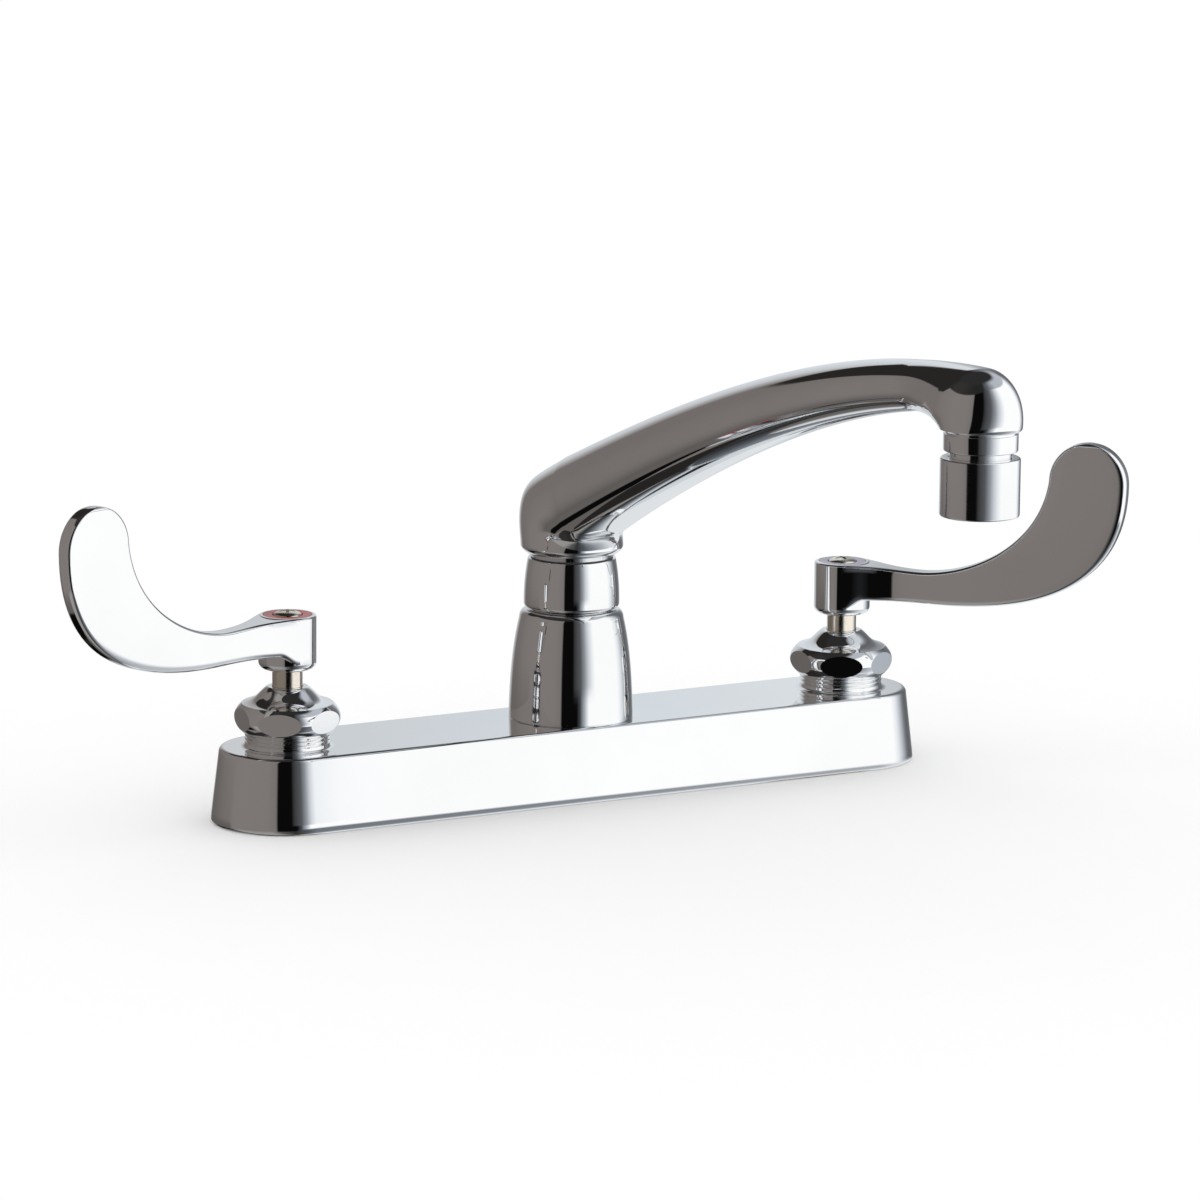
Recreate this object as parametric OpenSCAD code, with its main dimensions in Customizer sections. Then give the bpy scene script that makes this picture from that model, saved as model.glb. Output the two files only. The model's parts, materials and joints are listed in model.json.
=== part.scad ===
// Two-handle kitchen faucet on one long cast base, with a swinging cast spout.
// Millimetres. X runs along the base, the spout points to -Y, Z is up.
// The origin is the middle of the base's underside, on the face of the deck.

/* [Base] */
// Distance between the two valve axes
valve_centres = 203.2; // [190:0.1:230]
// Height of the base above the deck
base_h = 24; // [22.5:0.5:30]
// Width of the base at the deck
base_w = 46.8; // [45.5:0.1:50]
// Distance from a valve axis to the end of the base, at the deck
end_margin = 24.5; // [24:0.1:30]
// How far each side leans in between the deck and the top
side_draft = 2.7; // [1:0.1:3.2]
// Wall of the base casting
base_wall = 3; // [2.5:0.1:3.5]
// Radius of the top edge
top_edge_r = 1.6; // [0.8:0.1:2.4]
// Radius of the foot edge
foot_edge_r = 1.3; // [0.8:0.1:2.4]
// Radius of the cross waterway's bore
waterway_r = 3; // [2:0.1:3.2]
// Wall of the cross waterway's tube
waterway_wall = 2.5; // [1.5:0.1:3]

/* [Under the deck] */
// Thickness of the rubber gasket inside the foot
gasket_t = 2; // [1:0.1:3]
// Outer radius of the threaded inlet shanks
shank_r = 10.475; // [9:0.025:12]
// Radius of the bore through a shank
shank_bore_r = 6.4; // [4:0.1:7]
// Length of a shank below the deck
shank_drop = 58; // [52:1:90]
// Depth to which a shank screws into the base
shank_socket = 6; // [4:0.5:7]
// Deck and washer space above the locknut
clamp_space = 25; // [10:1:35]
// Outer radius of the shank washer
shank_washer_r = 17; // [14:0.5:20]
// Thickness of the shank washer
shank_washer_t = 2; // [1:0.1:3]
// Width of the locknut across its flats
locknut_flats = 30; // [28:0.5:36]
// Thickness of the locknut
locknut_t = 8; // [5:0.5:10]
// Width of the relief groove between the locknut and the free end of the thread
relief_w = 2; // [1:0.1:3]
// Depth of the relief groove
relief_d = 0.8; // [0.6:0.1:1.2]

/* [Valves] */
// Outer radius of the valve bosses under the base
boss_r = 16; // [14.5:0.1:17]
// Outer radius of the threaded valve necks
neck_r = 13.5; // [13:0.1:14.5]
// Radius of the valve wells
well_r = 10; // [9.5:0.05:10.5]
// Thickness of the wall under the valve seat
seat_wall = 1.5; // [1:0.1:2.5]
// Radius of the port through the seat
port_r = 5; // [3:0.1:6]
// Neck left in view below the bonnet nut
collar_h = 5; // [4:0.1:9]
// Length of neck that the bonnet nut covers
nut_engagement = 4.8; // [4:0.1:6]
// Width of the bonnet nut across its flats
nut_flats = 30.6; // [30.4:0.1:33]
// Largest radius of the bonnet nut's rounded waist
nut_r = 16.8; // [16:0.1:18]
// Radius of the bonnet nut at its lower and upper edge
nut_edge_r = 14.4; // [14.2:0.1:15.2]
// Turn at which the left bonnet nut ends when it is tight
left_nut_turn = 24.5; // [0:0.5:60]
// Turn at which the right bonnet nut ends when it is tight
right_nut_turn = 29.5; // [0:0.5:60]
// Height of the nut's hexagon
nut_hex_h = 8.9; // [8:0.1:11]
// Height of the hollowed cone above the hexagon
nut_cone_h = 5.3; // [4:0.1:8]
// Thickness of the cartridge flange held under the nut
flange_t = 1.5; // [1:0.1:2.5]
// Wall of the cartridge barrel
cartridge_wall = 2; // [1.8:0.1:2.2]
// Thickness of each ceramic disc
disc_t = 2.4; // [1.8:0.1:2.6]
// Thickness of the rubber seat seal
seat_seal_t = 1.5; // [1:0.1:2]
// Radius of the valve stem
stem_r = 4.8; // [4.5:0.05:5.2]
// Stem left in view below the handle
stem_show = 5.6; // [3:0.1:9]
// Radius of the stem's splined end
spline_r = 3.9; // [3.4:0.05:4.2]
// Depth of the splined end inside the handle
spline_depth = 9.5; // [7:0.5:11]

/* [Handles] */
// Radius of the handle hub
hub_r = 9.2; // [9:0.1:11]
// Height of the handle hub
hub_h = 17.3; // [16:0.1:20]
// Radius of the hub's lower edge
hub_edge_r = 2.5; // [1:0.1:3]
// Height of the arm's underside above the hub's lower end
arm_lift = 5.6; // [3:0.1:7]
// Drop of the arm's top below the hub's top
arm_drop = 1.3; // [0.6:0.1:3]
// Half thickness of the arm
arm_half = 3.3; // [2.8:0.1:4]
// Half thickness of the blade
blade_half = 2.6; // [2:0.1:3.2]
// Distance from the valve axis to the middle of the blade's round end
paddle_out = 84; // [75:0.5:95]
// Height of the middle of the round end above the hub's lower end
paddle_up = 49.3; // [40:0.5:55]
// Radius of the blade's round end
paddle_r = 13.2; // [11:0.1:15]
// Angle of the left handle forward of the base's long axis
left_rest = 19.5; // [0:0.5:40]
// Angle of the right handle forward of the base's long axis
right_rest = 50.5; // [20:0.5:100]
// Radius of the coloured index ring
index_r = 7.75; // [7.5:0.05:8]
// Depth of the index ring
index_t = 1; // [0.8:0.1:1.6]
// Radius of the handle screw's head
screw_head_r = 4.5; // [4:0.1:4.8]
// Radius of the handle screw's thread
screw_r = 2; // [1.5:0.05:2.2]

/* [Spout column] */
// Radius of the column at its foot
post_foot_r = 20.1; // [19:0.1:20.4]
// Radius of the column just under its shoulder
post_top_r = 16.8; // [16:0.1:17.5]
// Height of the column's barrel
post_h = 35.5; // [30:0.5:50]
// Height of the base's neck inside the column
post_neck_h = 11; // [8:0.5:14]
// Radius of the base's neck inside the column
post_neck_r = 13; // [12.5:0.1:13.6]
// Radius of the water chamber under the column
chamber_r = 8; // [6:0.1:8.4]
// Thickness of the seal on the base's neck
post_seal_t = 1; // [0.6:0.1:1.6]
// Radius of the swivel bore
swivel_r = 9; // [8.6:0.05:9.4]
// Depth of the swivel stem in the column
swivel_depth = 22; // [18:0.5:24]
// Largest radius of the spout nut
spout_nut_r = 15.4; // [15.2:0.05:16.5]
// Height of the spout nut
spout_nut_h = 16; // [14:0.5:18]
// Thickness of the spout nut's inner lip
nut_lip_t = 4.5; // [3.5:0.1:5]

/* [Spout] */
// Radius of the spout's hub
spout_hub_r = 16.5; // [16:0.1:18.5]
// Radius of the hub's foot where it meets the nut
spout_foot_r = 13.6; // [13:0.1:14.4]
// Height of the hub's flared foot
spout_flare_h = 2.9; // [2:0.1:6]
// Reach from the column axis to the outlet axis
reach = 241.3; // [200:0.1:280]
// Height from the hub's foot to the middle of the domed end
rise = 81.7; // [70:0.1:100]
// Slope of the arm where it leaves the hub, in degrees
root_slope = 24.5; // [20:0.1:28]
// Slope of the arm where it meets the domed end, in degrees
tip_slope = 7.5; // [3:0.5:10]
// Radius of the arm at the hub
arm_root_r = 14.5; // [13.5:0.1:15.5]
// Radius of the arm at its thin end
arm_tip_r = 7.7; // [7.2:0.1:9]
// Radius of the inner bend between hub and arm
crotch_r = 6; // [4:0.5:8]
// Radius of the domed end
dome_r = 13; // [12.5:0.1:14]
// Length of the domed end, from the arm's thin end to the outlet axis
dome_run = 33; // [28:0.5:40]
// How far the arm's thin end lies below the top of the dome
tip_sink = 2.2; // [1.5:0.1:4]
// How far the outlet plane lies below the middle of the dome
mouth_drop = 5.1; // [4:0.1:6.5]
// How square the arm's underside is, from 0 for round
low_square = 0.8; // [0:0.05:1.2]
// How square the arm's top is where it leaves the hub, from 0 for round
top_square = 0.4; // [0:0.05:0.8]
// Wall of the spout casting
spout_wall = 2.6; // [2:0.1:3]

/* [Outlet] */
// Radius of the adapter's ring
adapter_r = 10.8; // [10.4:0.05:11.4]
// Height of the adapter's ring
adapter_h = 5.2; // [4:0.1:7]
// Radius of the adapter's threaded nipples
nipple_r = 9; // [8.6:0.05:9.2]
// Gap in view between the ring and the aerator housing
adapter_gap = 1.9; // [1:0.1:3]
// Outer radius of the aerator housing
aerator_r = 11.6; // [11:0.05:12.4]
// Height of the aerator housing
aerator_h = 17; // [16:0.5:22]
// Radius of the mouth that the water leaves by
mouth_r = 8.2; // [7.5:0.1:8.4]
// Depth of the mouth below the aerator insert
mouth_depth = 5; // [3:0.5:6]

/* [Clearances] */
// Gap of a threaded or pressed fit, on the radius
fit_gap = 0.08; // [0.05:0.01:0.15]
// Gap of a turning fit, on the radius
turn_gap = 0.06; // [0.04:0.01:0.1]
// Gap between turning faces, along the axis
face_gap = 0.3; // [0.2:0.05:0.5]

/* [Hidden] */
$fn = 64;
LEFT = -1;
RIGHT = 1;
// A cutter reaches this far past the face that it opens
cut = 1;

// Heights in a valve, from the deck up
shank_top = gasket_t + shank_socket;
seat_z = shank_top + seat_wall;
disc_z = seat_z + seat_seal_t;
port_top = disc_z + 2 * disc_t;
waterway_z = base_h - base_wall - waterway_r;
window_top = waterway_z + waterway_r;
nut_z = base_h + collar_h;
neck_top = nut_z + nut_engagement;
flange_top = neck_top + flange_t;
hex_top = nut_z + nut_hex_h;
cone_top = hex_top + nut_cone_h;
hub_z = cone_top + stem_show;
hub_top = hub_z + hub_h;

// Radii in a valve
cartridge_r = well_r - 2 * fit_gap;
barrel_r = cartridge_r - cartridge_wall;
disc_r = barrel_r - fit_gap;
pocket_r = neck_r + fit_gap;
gland_r = stem_r + turn_gap;
stem_seal_r = gland_r - turn_gap / 2;
cone_r = 6.3;
cone_foot_r = 11.4;

// O-rings: thickness, and how far a ring's outside stays inside the bore that it seals
oring_d = 1.6;
oring_gap = 0.02;
stem_flange_t = 2;
stem_oring_z = (window_top + stem_flange_t + flange_top) / 2;
cartridge_oring_z = (window_top + neck_top) / 2;

// Heights in the column
post_neck_top = base_h + post_neck_h;
post_seat = post_neck_top + post_seal_t;
shoulder_z = base_h + post_h;
post_groove = 0.5;
spout_nut_z = shoulder_z + post_groove;
nut_top = spout_nut_z + spout_nut_h;
lip_z = nut_top - nut_lip_t;
swivel_flange_t = 2.4;
bearing_t = 0.6;
swivel_flange_z = lip_z - face_gap - swivel_flange_t;
bearing_z = swivel_flange_z - face_gap - bearing_t;
glide_t = 0.7;
spout_z = nut_top + glide_t + face_gap;

// Radii in the column
post_thread_r = spout_nut_r - 2.4;
spout_bore_r = post_thread_r + fit_gap;
swivel_stem_r = swivel_r - turn_gap;
swivel_seal_r = swivel_r - turn_gap / 2;
swivel_neck_r = 10.2;
lip_r = swivel_neck_r + 0.2;
swivel_bore_r = 5.5;
swivel_flange_r = spout_bore_r - 0.6;
spigot_r = 9.5;
spigot_depth = 10;

// The spout's outline, as points of reach and height
crotch = [spout_hub_r + crotch_r, spout_z + spout_flare_h];
dome = [reach, spout_z + rise];
mouth_angle = asin(mouth_drop / dome_r);
mouth_half = dome_r * cos(mouth_angle);
mouth_z = dome.y - mouth_drop;
root_out = [-sin(root_slope), cos(root_slope)];
arm_start = crotch + (crotch_r + arm_root_r) * root_out;
tip_out = [-sin(tip_slope), cos(tip_slope)];
arm_end = [reach - dome_run, dome.y + dome_r - arm_tip_r - tip_sink];
arm_pull = 64;

// Heights in the outlet
washer_step = 0.8;
ring_top = mouth_z - washer_step;
ring_z = ring_top - adapter_h;
aerator_top = ring_z - adapter_gap;
aerator_z = aerator_top - aerator_h;
insert_z = aerator_z + mouth_depth;
insert_t = 4.6;
screen_t = 0.6;
aerator_washer_t = 1.4;
nipple_z = insert_z + insert_t + screen_t + aerator_washer_t;
chamber_bore_r = nipple_r + fit_gap;
nipple_up = 7;

// Small helpers
function mix(a, b, t) = a + (b - a) * t;
function ease(t) = t * t * (3 - 2 * t);
function bezier(p, t) =
    pow(1 - t, 3) * p[0] + 3 * pow(1 - t, 2) * t * p[1] + 3 * (1 - t) * t * t * p[2] + pow(t, 3) * p[3];
function arc(centre, r, from, to, steps) =
    [for (i = [0:steps]) let (a = mix(from, to, i / steps)) centre + r * [cos(a), sin(a)]];
function soft_max(a, b, blend) = (a + b + sqrt(pow(a - b, 2) + blend * blend)) / 2;
function soft_min(a, b, power) = pow(pow(a, -power) + pow(b, -power), -1 / power);

module tube(outer, inner, z, top) {
    difference() {
        translate([0, 0, z]) cylinder(r = outer, h = top - z);
        translate([0, 0, z - cut]) cylinder(r = inner, h = top - z + 2 * cut);
    }
}

module oring(reach_r, z) {
    translate([0, 0, z])
        rotate_extrude()
            translate([reach_r - oring_gap - oring_d / 2, 0])
                circle(d = oring_d, $fn = 24);
}

module oring_groove(reach_r, z) {
    depth_r = reach_r - oring_gap - oring_d;
    difference() {
        translate([0, 0, z - oring_d / 2]) cylinder(r = reach_r + cut, h = oring_d);
        translate([0, 0, z - oring_d]) cylinder(r = depth_r, h = 2 * oring_d);
    }
}

// A skin over rings of points, closed at both ends
module skin(rings) {
    sides = len(rings[0]);
    last = (len(rings) - 1) * sides;
    points = [for (ring = rings) each ring];
    walls = [
        for (i = [0:len(rings) - 2], j = [0:sides - 1])
            let (a = i * sides + j, b = i * sides + (j + 1) % sides)
                each [[a, b + sides, a + sides], [a, b, b + sides]]
    ];
    first_end = [for (j = [sides - 1:-1:0]) j];
    last_end = [for (j = [0:sides - 1]) last + j];
    polyhedron(points, concat(walls, [first_end, last_end]), convexity = 6);
}

module at_valve(side) {
    translate([side * valve_centres / 2, 0, 0]) children();
}

// A handle points out along the base, then forward by its rest angle
module turned(side) {
    at_valve(side)
        rotate([0, 0, side == LEFT ? 180 + left_rest : -right_rest])
            children();
}

// The base: one profile carried round a slot-shaped plan

function base_profile(inset, top) =
    let (
        lean = atan(side_draft / base_h),
        foot = base_w / 2 - inset,
        head = foot - side_draft * top / base_h,
        top_r = inset > 0 ? 0.6 : top_edge_r,
        foot_r = inset > 0 ? 0.1 : foot_edge_r
    )
    concat(
        [[0, 0]],
        arc([foot - foot_r - side_draft * foot_r / base_h, foot_r], foot_r, -90, -lean, 4),
        arc([head - top_r, top - top_r], top_r, lean, 90, 6),
        [[0, top]]
    );

module slot_solid(profile) {
    end_x = valve_centres / 2 + end_margin - base_w / 2;
    both = concat(profile, [for (i = [len(profile) - 1:-1:0]) [-profile[i].x, profile[i].y]]);
    for (side = [LEFT, RIGHT])
        translate([side * end_x, 0, 0]) rotate_extrude() polygon(profile);
    translate([-end_x, 0, 0])
        rotate([90, 0, 90])
            linear_extrude(2 * end_x) polygon(both);
}

module faucet_body() {
    color("gainsboro")
        difference() {
            union() {
                difference() {
                    slot_solid(base_profile(0, base_h));
                    translate([0, 0, -0.01]) slot_solid(base_profile(base_wall, base_h - base_wall));
                }
                for (side = [LEFT, RIGHT])
                    at_valve(side) {
                        translate([0, 0, gasket_t]) cylinder(r = boss_r, h = base_h - gasket_t - 1);
                        translate([0, 0, base_h - base_wall])
                            cylinder(r = neck_r, h = neck_top - base_h + base_wall);
                    }
                translate([0, 0, gasket_t]) cylinder(r = post_neck_r, h = post_neck_top - gasket_t);
                translate([-valve_centres / 2, 0, waterway_z])
                    rotate([0, 90, 0]) cylinder(r = waterway_r + waterway_wall, h = valve_centres);
            }
            for (side = [LEFT, RIGHT])
                at_valve(side) {
                    translate([0, 0, seat_z]) cylinder(r = well_r, h = neck_top);
                    translate([0, 0, gasket_t]) cylinder(r = port_r, h = base_h);
                    translate([0, 0, -cut]) cylinder(r = shank_r + fit_gap, h = shank_top + cut);
                }
            translate([0, 0, waterway_z - waterway_r]) cylinder(r = chamber_r, h = post_neck_top);
            translate([-valve_centres / 2, 0, waterway_z])
                rotate([0, 90, 0]) cylinder(r = waterway_r, h = valve_centres);
        }
}

module deck_gasket() {
    color("dimgray")
        difference() {
            intersection() {
                translate([0, 0, -0.01]) slot_solid(base_profile(base_wall + 0.2, base_h - base_wall));
                translate([-valve_centres, -base_w, 0]) cube([2 * valve_centres, 2 * base_w, gasket_t]);
            }
            for (side = [LEFT, RIGHT])
                at_valve(side)
                    translate([0, 0, -cut]) cylinder(r = shank_r + 2 * fit_gap, h = gasket_t + 2 * cut);
        }
}

// Under the deck

relief_top = -clamp_space - locknut_t - 0.5;
module shank() {
    color("tan")
        difference() {
            translate([0, 0, -shank_drop]) cylinder(r = shank_r, h = shank_drop + shank_top);
            translate([0, 0, -shank_drop - cut])
                cylinder(r = shank_bore_r, h = shank_drop + shank_top + 2 * cut);
            translate([0, 0, -shank_drop - 0.01])
                cylinder(r1 = shank_r - 1.5, r2 = shank_bore_r, h = 2);
            tube(shank_r + cut, shank_r - relief_d, relief_top - relief_w, relief_top);
        }
}

module shank_washer() {
    color("silver") tube(shank_washer_r, shank_r + 2 * fit_gap, -clamp_space, -clamp_space + shank_washer_t);
}

module locknut() {
    top = -clamp_space;
    corner_r = locknut_flats / 2 / cos(30);
    color("tan")
        difference() {
            intersection() {
                translate([0, 0, top - locknut_t]) cylinder(r = corner_r, h = locknut_t, $fn = 6);
                translate([0, 0, top - locknut_t])
                    rotate_extrude()
                        polygon([
                            [0, 0], [locknut_flats / 2, 0], [corner_r, 1.3],
                            [corner_r, locknut_t - 1.3], [locknut_flats / 2, locknut_t], [0, locknut_t]
                        ]);
            }
            translate([0, 0, top - locknut_t - cut]) cylinder(r = shank_r + fit_gap, h = locknut_t + 2 * cut);
        }
}

// Inside a valve

module seat_seal() {
    color("black") tube(barrel_r, port_r, seat_z, disc_z);
}

module disc_port(angle) {
    rotate([0, 0, angle])
        translate([disc_r / 2, 0, disc_z - cut]) cylinder(r = disc_r / 3.4, h = 2 * disc_t + 2 * cut);
}

module fixed_disc() {
    color("whitesmoke")
        difference() {
            translate([0, 0, disc_z]) cylinder(r = disc_r, h = disc_t);
            for (angle = [0, 180]) disc_port(angle);
        }
}

module drive_tang(grow) {
    translate([-disc_r * 0.7 - grow, -1 - grow, port_top - disc_t / 2 - grow])
        cube([disc_r * 1.4 + 2 * grow, 2 + 2 * grow, window_top - port_top + disc_t / 2 + 2 * grow]);
}

module moving_disc() {
    color("white")
        difference() {
            translate([0, 0, disc_z + disc_t]) cylinder(r = disc_r, h = disc_t);
            for (angle = [90, 270]) disc_port(angle);
            drive_tang(fit_gap);
        }
}

module cartridge() {
    gland_z = window_top + stem_flange_t + face_gap;
    color("tan")
        difference() {
            union() {
                translate([0, 0, disc_z]) cylinder(r = cartridge_r, h = neck_top - disc_z);
                translate([0, 0, neck_top]) cylinder(r = neck_r - 0.5, h = flange_t);
            }
            translate([0, 0, disc_z - cut]) cylinder(r = barrel_r, h = gland_z - disc_z + cut);
            translate([0, 0, disc_z - cut]) cylinder(r = gland_r, h = flange_top - disc_z + 2 * cut);
            for (angle = [0, 90])
                rotate([0, 0, angle])
                    translate([-well_r - cut, -waterway_r, port_top])
                        cube([2 * (well_r + cut), 2 * waterway_r, window_top - port_top]);
            oring_groove(well_r, cartridge_oring_z);
        }
}

module cartridge_oring() {
    color("black") oring(well_r, cartridge_oring_z);
}

function nut_waist() =
    let (middle = nut_hex_h / 2, bulge = nut_r - nut_edge_r)
        [for (i = [0:12]) let (h = nut_hex_h * i / 12) [nut_r - bulge * pow((h - middle) / middle, 2), h]];

// The cone widens slowly down from the stem, then runs out quickly over the hexagon
function cone_side() = [
    for (i = [10:-1:0])
        let (t = i / 10)
            [cone_r + (cone_foot_r - cone_r) * pow(t, 0.8) + (nut_edge_r - 0.7 - cone_foot_r) * pow(t, 6),
             nut_cone_h * (1 - t)]
];

module bonnet_nut(turn) {
    color("gainsboro")
        difference() {
            union() {
                intersection() {
                    translate([0, 0, nut_z])
                        rotate_extrude() polygon(concat([[0, 0]], nut_waist(), [[0, nut_hex_h]]));
                    translate([0, 0, nut_z])
                        rotate([0, 0, turn]) cylinder(r = nut_flats / 2 / cos(30), h = nut_hex_h, $fn = 6);
                }
                translate([0, 0, hex_top])
                    rotate_extrude()
                        polygon(concat(
                            [[0, -1], [nut_edge_r - 0.6, -1], [nut_edge_r - 0.6, 0]],
                            cone_side(),
                            [[0, nut_cone_h]]
                        ));
            }
            translate([0, 0, nut_z - cut]) cylinder(r = pocket_r, h = flange_top - nut_z + cut);
            translate([0, 0, nut_z]) cylinder(r = gland_r + 0.1, h = cone_top);
        }
}

module stem() {
    flange_z = window_top;
    tap_extra = 4;
    color("tan")
        difference() {
            union() {
                translate([0, 0, flange_z]) cylinder(r = disc_r, h = stem_flange_t);
                translate([0, 0, flange_z]) cylinder(r = stem_r, h = hub_z - flange_z);
                translate([0, 0, hub_z - cut]) cylinder(r = spline_r, h = spline_depth + cut);
                drive_tang(0);
            }
            translate([0, 0, hub_z - tap_extra])
                cylinder(r = screw_r + fit_gap, h = spline_depth + tap_extra + cut);
            oring_groove(stem_seal_r, stem_oring_z);
        }
}

module stem_oring() {
    color("black") oring(stem_seal_r, stem_oring_z);
}

// Handles: the hub is turned, and the arm and blade are one skin between a lower and an upper edge

arm_z = hub_z + arm_lift;
arm_top = hub_top - arm_drop;
arm_out = 27;
paddle = [paddle_out, hub_z + paddle_up];
// How far each curve is pulled along its start and back from its end
lower_pull = [12, 48];
upper_pull = [18, 22];
lower_curve = [
    [arm_out, arm_z],
    [arm_out + lower_pull[0], arm_z],
    [paddle.x + paddle_r, paddle.y - lower_pull[1]],
    [paddle.x + paddle_r, paddle.y]
];
upper_curve = [
    [arm_out, arm_top],
    [arm_out + upper_pull[0], arm_top],
    [paddle.x - paddle_r - 3, paddle.y - upper_pull[1]],
    [paddle.x - paddle_r, paddle.y]
];

// The arm widens in plan until it runs flush into the round hub
flare_angle = 18;
flare_start = hub_r * sin(flare_angle);
flare_blend = 2.4;
flare_trim = 0.25;
// Under the arm's root a web runs down the hub
web_drop = 3.6;
web_run = 6.5;
function arm_width(out) =
    let (
        flare = hub_r * cos(flare_angle) - (out - flare_start) * tan(flare_angle),
        trim = flare_trim * (1 - ease(min(1, (out - flare_start) / hub_r)))
    )
    mix(
        soft_max(arm_half, flare, flare_blend) - trim,
        arm_half,
        ease((out - flare_start) / (arm_out - flare_start))
    );

// A rounded rectangle that stands between a lower and an upper point, as a ring of the skin
corner_steps = 3;
function edge_ring(low, high, half, round_r) =
    let (
        middle = (low + high) / 2,
        tall = norm(high - low) / 2,
        along = (high - low) / (2 * tall),
        r = min(round_r, tall * 0.96, half * 0.96)
    )
    [
        for (quarter = [0:3], i = [0:corner_steps])
            let (
                a = 90 * (quarter + i / corner_steps),
                up = (quarter == 0 || quarter == 3 ? 1 : -1) * (tall - r) + r * cos(a),
                over = (quarter < 2 ? 1 : -1) * (half - r) + r * sin(a),
                at = middle + up * along
            )
            [at.x, over, at.y]
    ];

blade_round = 1.9;
function handle_rings() = concat(
    [
        for (i = [0:8])
            let (
                t = pow(i / 8, 1.6),
                out = mix(flare_start, arm_out, t),
                low = arm_z - web_drop * (1 - ease(min(1, (out - flare_start) / web_run))),
                sink = mix(0.1, arm_drop, ease(t))
            )
            edge_ring([out, low], [out, hub_top - sink], arm_width(out), blade_round)
    ],
    [
        for (i = [1:12])
            let (t = i / 12, side = mix(arm_half, blade_half, ease(t)))
                edge_ring(bezier(lower_curve, t), bezier(upper_curve, t), side, blade_round)
    ],
    [
        for (i = [1:7])
            let (
                a = 84 * sin(90 * i / 7),
                half_chord = [paddle_r * cos(a), 0],
                up = [0, paddle_r * sin(a)],
                left_over = min(blade_round, paddle_r * (1 - sin(a))),
                side = blade_half - blade_round + sqrt(pow(blade_round, 2) - pow(blade_round - left_over, 2))
            )
            edge_ring(paddle + up + half_chord, paddle + up - half_chord, side, blade_round)
    ]
);

function hub_profile() = concat(
    [[0, 0]],
    arc([hub_r - hub_edge_r, hub_edge_r], hub_edge_r, -90, 0, 6),
    arc([hub_r - 0.8, hub_h - 0.8], 0.8, 0, 90, 3),
    [[0, hub_h]]
);

head_sink = 0.8;
module handle() {
    color("gainsboro")
        difference() {
            union() {
                translate([0, 0, hub_z]) rotate_extrude() polygon(hub_profile());
                skin(handle_rings());
            }
            translate([0, 0, hub_z - cut]) cylinder(r = spline_r + fit_gap, h = spline_depth + cut + fit_gap);
            translate([0, 0, hub_z]) cylinder(r = screw_r + 0.3, h = hub_h + cut);
            translate([0, 0, hub_top - index_t]) cylinder(r = index_r + fit_gap, h = index_t + cut);
        }
}

module index_ring(shade) {
    color(shade) tube(index_r, screw_head_r + 0.3, hub_top - index_t, hub_top);
}

module handle_screw() {
    head_z = hub_top - index_t;
    slot_w = 0.9;
    color("tan")
        difference() {
            union() {
                translate([0, 0, hub_z - 3]) cylinder(r = screw_r, h = head_z - hub_z + 3 + 0.5);
                translate([0, 0, head_z]) cylinder(r = screw_head_r, h = head_sink);
                translate([0, 0, head_z + head_sink])
                    rotate_extrude() polygon([
                        for (i = [0:6]) [screw_head_r * cos(15 * i), 1.4 * sin(15 * i)],
                        [0, -0.2], [screw_head_r, -0.2]
                    ]);
            }
            for (angle = [45, 135])
                rotate([0, 0, angle])
                    translate([-screw_head_r * 0.55, -slot_w / 2, head_z + 0.9])
                        cube([screw_head_r * 1.1, slot_w, 3]);
        }
}

// The column

post_shoulder_r = 3;
function post_barrel() = concat(
    [[0, 0]],
    [for (i = [0:9])
        let (t = i / 10)
            [mix(post_foot_r, post_top_r, 0.35 * t + 0.65 * pow(t, 3)), t * (post_h - post_shoulder_r)]],
    arc([post_top_r - post_shoulder_r, post_h - post_shoulder_r], post_shoulder_r, 0, 90, 6),
    [[0, post_h]]
);

module spout_post() {
    color("gainsboro")
        difference() {
            union() {
                translate([0, 0, base_h]) rotate_extrude() polygon(post_barrel());
                translate([0, 0, shoulder_z - cut])
                    cylinder(r = post_thread_r, h = bearing_z - shoulder_z + cut);
            }
            translate([0, 0, base_h - cut]) cylinder(r = post_neck_r + fit_gap, h = post_seat - base_h + cut);
            translate([0, 0, base_h]) cylinder(r = swivel_r, h = post_h + spout_nut_h);
        }
}

module post_seal() {
    color("black") tube(post_neck_r - 0.2, swivel_r, post_neck_top, post_seat);
}

function spout_nut_profile() = concat(
    [[spout_bore_r, 0], [spout_nut_r - 0.8, 0]],
    [for (i = [0:8])
        let (t = i / 8)
            [spout_nut_r - 1.2 * pow(t, 2.2), mix(1.2, spout_nut_h - 0.5, t)]],
    [[spout_nut_r - 1.7, spout_nut_h], [lip_r, spout_nut_h]],
    [[lip_r, spout_nut_h - nut_lip_t], [spout_bore_r, spout_nut_h - nut_lip_t]]
);

module spout_nut() {
    color("gainsboro") translate([0, 0, spout_nut_z]) rotate_extrude() polygon(spout_nut_profile());
}

module bearing_washer() {
    color("ivory") tube(swivel_flange_r, swivel_r + 0.2, bearing_z, bearing_z + bearing_t);
}

module glide_ring() {
    color("dimgray") tube(spout_foot_r - 0.5, lip_r, nut_top, nut_top + glide_t);
}

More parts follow.
